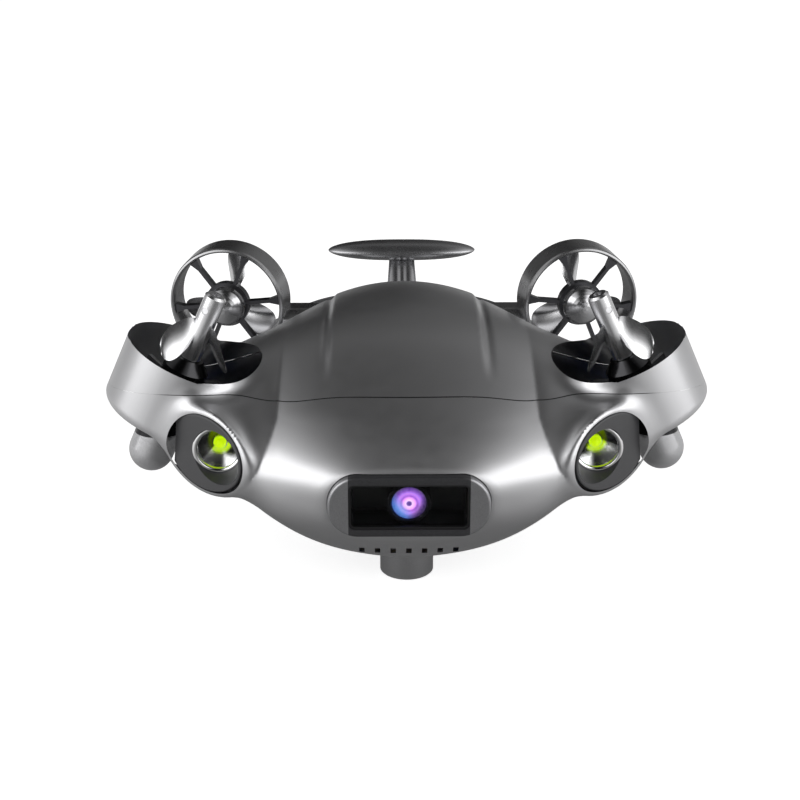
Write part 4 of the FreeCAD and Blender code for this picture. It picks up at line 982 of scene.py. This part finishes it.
def lens_material():
    """Coated glass: the coating's violet rings, painted as reflections, with a painted cyan highlight on one
    side, painted black shade on another, and a painted glow.
    """
    n = Paint("lens_coating_and_reflections")
    dx, dz, radius = offsets_from_axis(n, 0.0, CAMERA_Z)
    share = n.math("DIVIDE", radius, LENS_R * MM)
    rings = n.ramp(share, [(0.0, (0.05, 0.02, 0.16)), (0.12, (0.1, 0.05, 0.3)), (0.2, (0.95, 0.62, 0.95)),
                           (0.34, (0.86, 0.36, 0.95)), (0.46, (0.30, 0.08, 0.55)), (0.6, (0.55, 0.22, 0.9)),
                           (0.8, (0.16, 0.05, 0.42)), (1.0, (0.01, 0.01, 0.04))])

    # share of one side of the lens, which gets a painted highlight or painted shade
    def painted_side_share(x_weight, z_weight, low, high, most):
        lean = n.math("ADD", n.math("MULTIPLY", dx, x_weight), n.math("MULTIPLY", dz, z_weight))
        return n.math("MULTIPLY", n.ramp(lean, [(low, 0.0), (high, 1.0)]), most)

    # painted highlight in cyan on the lit side, then painted shade in black on the other side
    cyan = n.mix(share, (0.1, 0.75, 1.0), (0.02, 0.12, 0.5))
    colour = n.mix(painted_side_share(-90.0, -70.0, 0.15, 0.75, 0.8), rings, cyan)
    colour = n.mix(painted_side_share(90.0, -60.0, 0.35, 0.8, 0.9), colour, (0.01, 0.005, 0.03))
    colour = n.mix(0.12, colour, n.grain(900.0, (0.05, 0.02, 0.2), (0.5, 0.3, 0.8)))
    # the emission makes the lens glow a little: painted light
    n.set(Base_Color=colour, Metallic=0.2, Roughness=0.08, Coat_Weight=0.6,
          Emission_Color=colour, Emission_Strength=0.75)
    return n.material


def make_materials():
    """Every look of the vehicle, by slot or, where a piece differs from its slot, by its own name."""
    looks = {"upper_skin": shell_paint("shell_upper_paint"),
             "lower_skin": shell_paint("shell_lower_paint"),
             "duct_grey": shell_paint("duct_paint"),
             "nose_frame": nose_material(),
             "motor_shaded": motor_material(),
             "emitter_yellow": emitter_material(),
             "clear_window": window_material(),
             "coated_lens": lens_material()}
    for look, name, colour, metallic, rough, settings in PLAIN_LOOKS:
        looks[look] = speckled(name, colour, metallic, rough, **settings).material
    for name, side in SIDES:
        looks["lamp_reflector_" + name] = reflector_material("reflector_" + name, side)
    return looks


def look_of(name, slot):
    """The look of a node or piece: its slot's, except where the photograph shows it otherwise."""
    if name == "camera_bezel":
        return "nose_frame"
    if name == "lens_rings":
        return "lens_barrel"
    if "_guard_" in name:
        return "guard_dark"
    if "reflector" in name:
        return name
    if name.startswith(("front_motor_", "rear_motor_")) and "mount" not in name:
        return "motor_shaded"
    return slot


# ---------------------------------------------------------------- studio


def build_camera():
    data = bpy.data.cameras.new("camera")
    data.sensor_width, data.lens = VIEW_SENSOR, VIEW_FOCUS
    camera = bpy.data.objects.new("camera", data)
    bpy.context.scene.collection.objects.link(camera)
    pitch, turn = math.radians(VIEW_PITCH), math.radians(VIEW_TURN)
    away = Vector((-math.sin(turn) * math.cos(pitch), -math.cos(turn) * math.cos(pitch), math.sin(pitch)))
    camera.location = Vector(VIEW_AIM) * MM + away * (VIEW_REACH * MM)
    camera.rotation_euler = (-away).to_track_quat("-Z", "Y").to_euler()
    bpy.context.scene.camera = camera


def area_light(name, spot, aim, size, watts):
    data = bpy.data.lights.new(name, "AREA")
    data.shape = "RECTANGLE"
    data.size, data.size_y = size
    data.energy = watts
    lamp = bpy.data.objects.new(name, data)
    bpy.context.scene.collection.objects.link(lamp)
    lamp.location = spot
    lamp.rotation_euler = (Vector(aim) - Vector(spot)).to_track_quat("-Z", "Y").to_euler()


def build_lights():
    x, y, z = SOFTBOX_SPOT
    for name, side in reversed(SIDES):
        area_light(name + "_softbox", (side * x, y, z), SOFTBOX_AIM, SOFTBOX_SIZE, SOFTBOX_WATTS)
    area_light("back_softbox", BACKLIGHT_SPOT, BACKLIGHT_AIM, BACKLIGHT_SIZE, BACKLIGHT_WATTS)


def build_world():
    """White to the camera, an even sky to diffuse rays, and softboxes left and right to reflections."""
    world = bpy.data.worlds.new("studio")
    bpy.context.scene.world = world
    world.use_nodes = True
    g = Graph(world.node_tree)
    output = g.add("ShaderNodeOutputWorld")
    x, y, z = g.split(g.add("ShaderNodeTexCoord").outputs["Generated"])

    def shifted(value):
        """From -1...1 to 0...1."""
        return g.math("ADD", g.math("MULTIPLY", value, 0.5), 0.5)

    # softboxes: dark overhead and in the middle plane, bright on both flanks, fading towards the back
    high = g.ramp(shifted(z), [(0.0, 0.2), (0.4, 0.35), (0.55, 0.8), (0.7, 1.0), (0.9, 0.9), (1.0, 0.1)])
    flank = g.ramp(g.math("ABSOLUTE", x), [(0.0, 0.01), (0.2, 0.03), (0.42, 0.95), (1.0, 0.9)])
    ahead = g.ramp(shifted(y), [(0.0, 0.8), (0.45, 1.1), (0.68, 0.8), (0.8, 0.1), (1.0, 0.03)])
    # and a weaker glow from behind on the right
    right = g.ramp(shifted(x), [(0.5, 0.0), (0.62, 0.16), (0.8, 0.22)])
    behind = g.ramp(shifted(y), [(0.55, 0.0), (0.8, 1.0)])
    studio = g.math("MULTIPLY", g.math("MULTIPLY", high, flank), ahead)
    studio = g.math("ADD", g.math("MULTIPLY", studio, STUDIO_GAIN), g.math("MULTIPLY", right, behind))
    path = g.add("ShaderNodeLightPath").outputs
    sharp = g.math("MAXIMUM", g.math("MAXIMUM", path["Is Camera Ray"], path["Is Glossy Ray"]),
                   path["Is Transmission Ray"])
    light = g.blend(sharp, DIFFUSE_SKY, studio)
    background = g.add("ShaderNodeBackground")
    background.inputs["Color"].default_value = (1.0, 1.0, 1.0, 1.0)
    g.feed(background.inputs["Strength"], g.blend(path["Is Camera Ray"], light, 1.0))
    g.feed(output.inputs[0], background.outputs[0])


def build_floor():
    """Pale floor that glows to the camera, so that it shows only the shadow, and is dim in reflections."""
    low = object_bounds()[0][2]
    corners = [(-FLOOR_HALF, -FLOOR_HALF), (FLOOR_HALF, -FLOOR_HALF), (FLOOR_HALF, FLOOR_HALF),
               (-FLOOR_HALF, FLOOR_HALF)]
    floor = new_object("floor", [(x, y, low) for x, y in corners], [(0, 1, 2, 3)])
    n = Paint("floor_paint")
    path = n.add("ShaderNodeLightPath").outputs
    away = n.ramp(n.math("ABSOLUTE", n.split(n.place)[0]), [(0.0, 0.1), (0.1, 0.1), (0.3, 0.62), (1.0, 0.7)])
    mirrored = n.math("MULTIPLY", n.math("MAXIMUM", path["Is Glossy Ray"], path["Is Transmission Ray"]), away)
    glow = n.add("ShaderNodeEmission")
    n.feed(glow.inputs["Strength"], n.math("MULTIPLY_ADD", path["Is Camera Ray"], FLOOR_GLOW, mirrored))
    pale = n.grain(6.0, (0.84, 0.84, 0.84), (0.88, 0.88, 0.88))
    n.set(Base_Color=n.mix(path["Is Glossy Ray"], pale, (0.12, 0.12, 0.12)), Roughness=0.8)
    both = n.add("ShaderNodeAddShader")
    n.feed(both.inputs[0], n.shader.outputs[0])
    n.feed(both.inputs[1], glow.outputs[0])
    n.feed(n.output.inputs["Surface"], both.outputs[0])
    floor.data.materials.append(n.material)


# ---------------------------------------------------------------- scene


def main():
    looks = make_materials()
    for name, thing in nodes.items():
        thing.data.materials.clear()
        thing.data.materials.append(looks[look_of(name, slot_of[name])])

    upper, lower, gasket = build_hull()
    handle, neck = build_grip(), build_stem()
    barrel, lens = build_barrel(), build_lens()
    rings = [build_lamp_ring(name, side) for name, side in SIDES]
    pieces = [(upper, "upper_skin"), (lower, "lower_skin"), (gasket, "gasket_rubber"),
              (handle, "handle_grey"), (neck, "handle_grey"), (barrel, "black_metal"), (lens, "coated_lens")]
    for thing, slot in pieces + [(ring, "bright_chrome") for ring in rings]:
        thing.data.materials.append(looks[look_of(thing.name, slot)])
        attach(thing, "hull")
    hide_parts("upper_shell")
    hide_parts("shell_gasket")
    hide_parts("camera_barrel")
    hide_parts("camera_lens")
    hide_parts("handle_grip")
    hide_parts("handle_stem")
    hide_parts("lower_shell", "front_duct_right", "front_duct_left",
                "rear_duct_right", "rear_duct_left")

    build_camera()
    build_world()
    build_floor()
    build_lights()


main()
bpy.context.scene.view_settings.view_transform = "Standard"
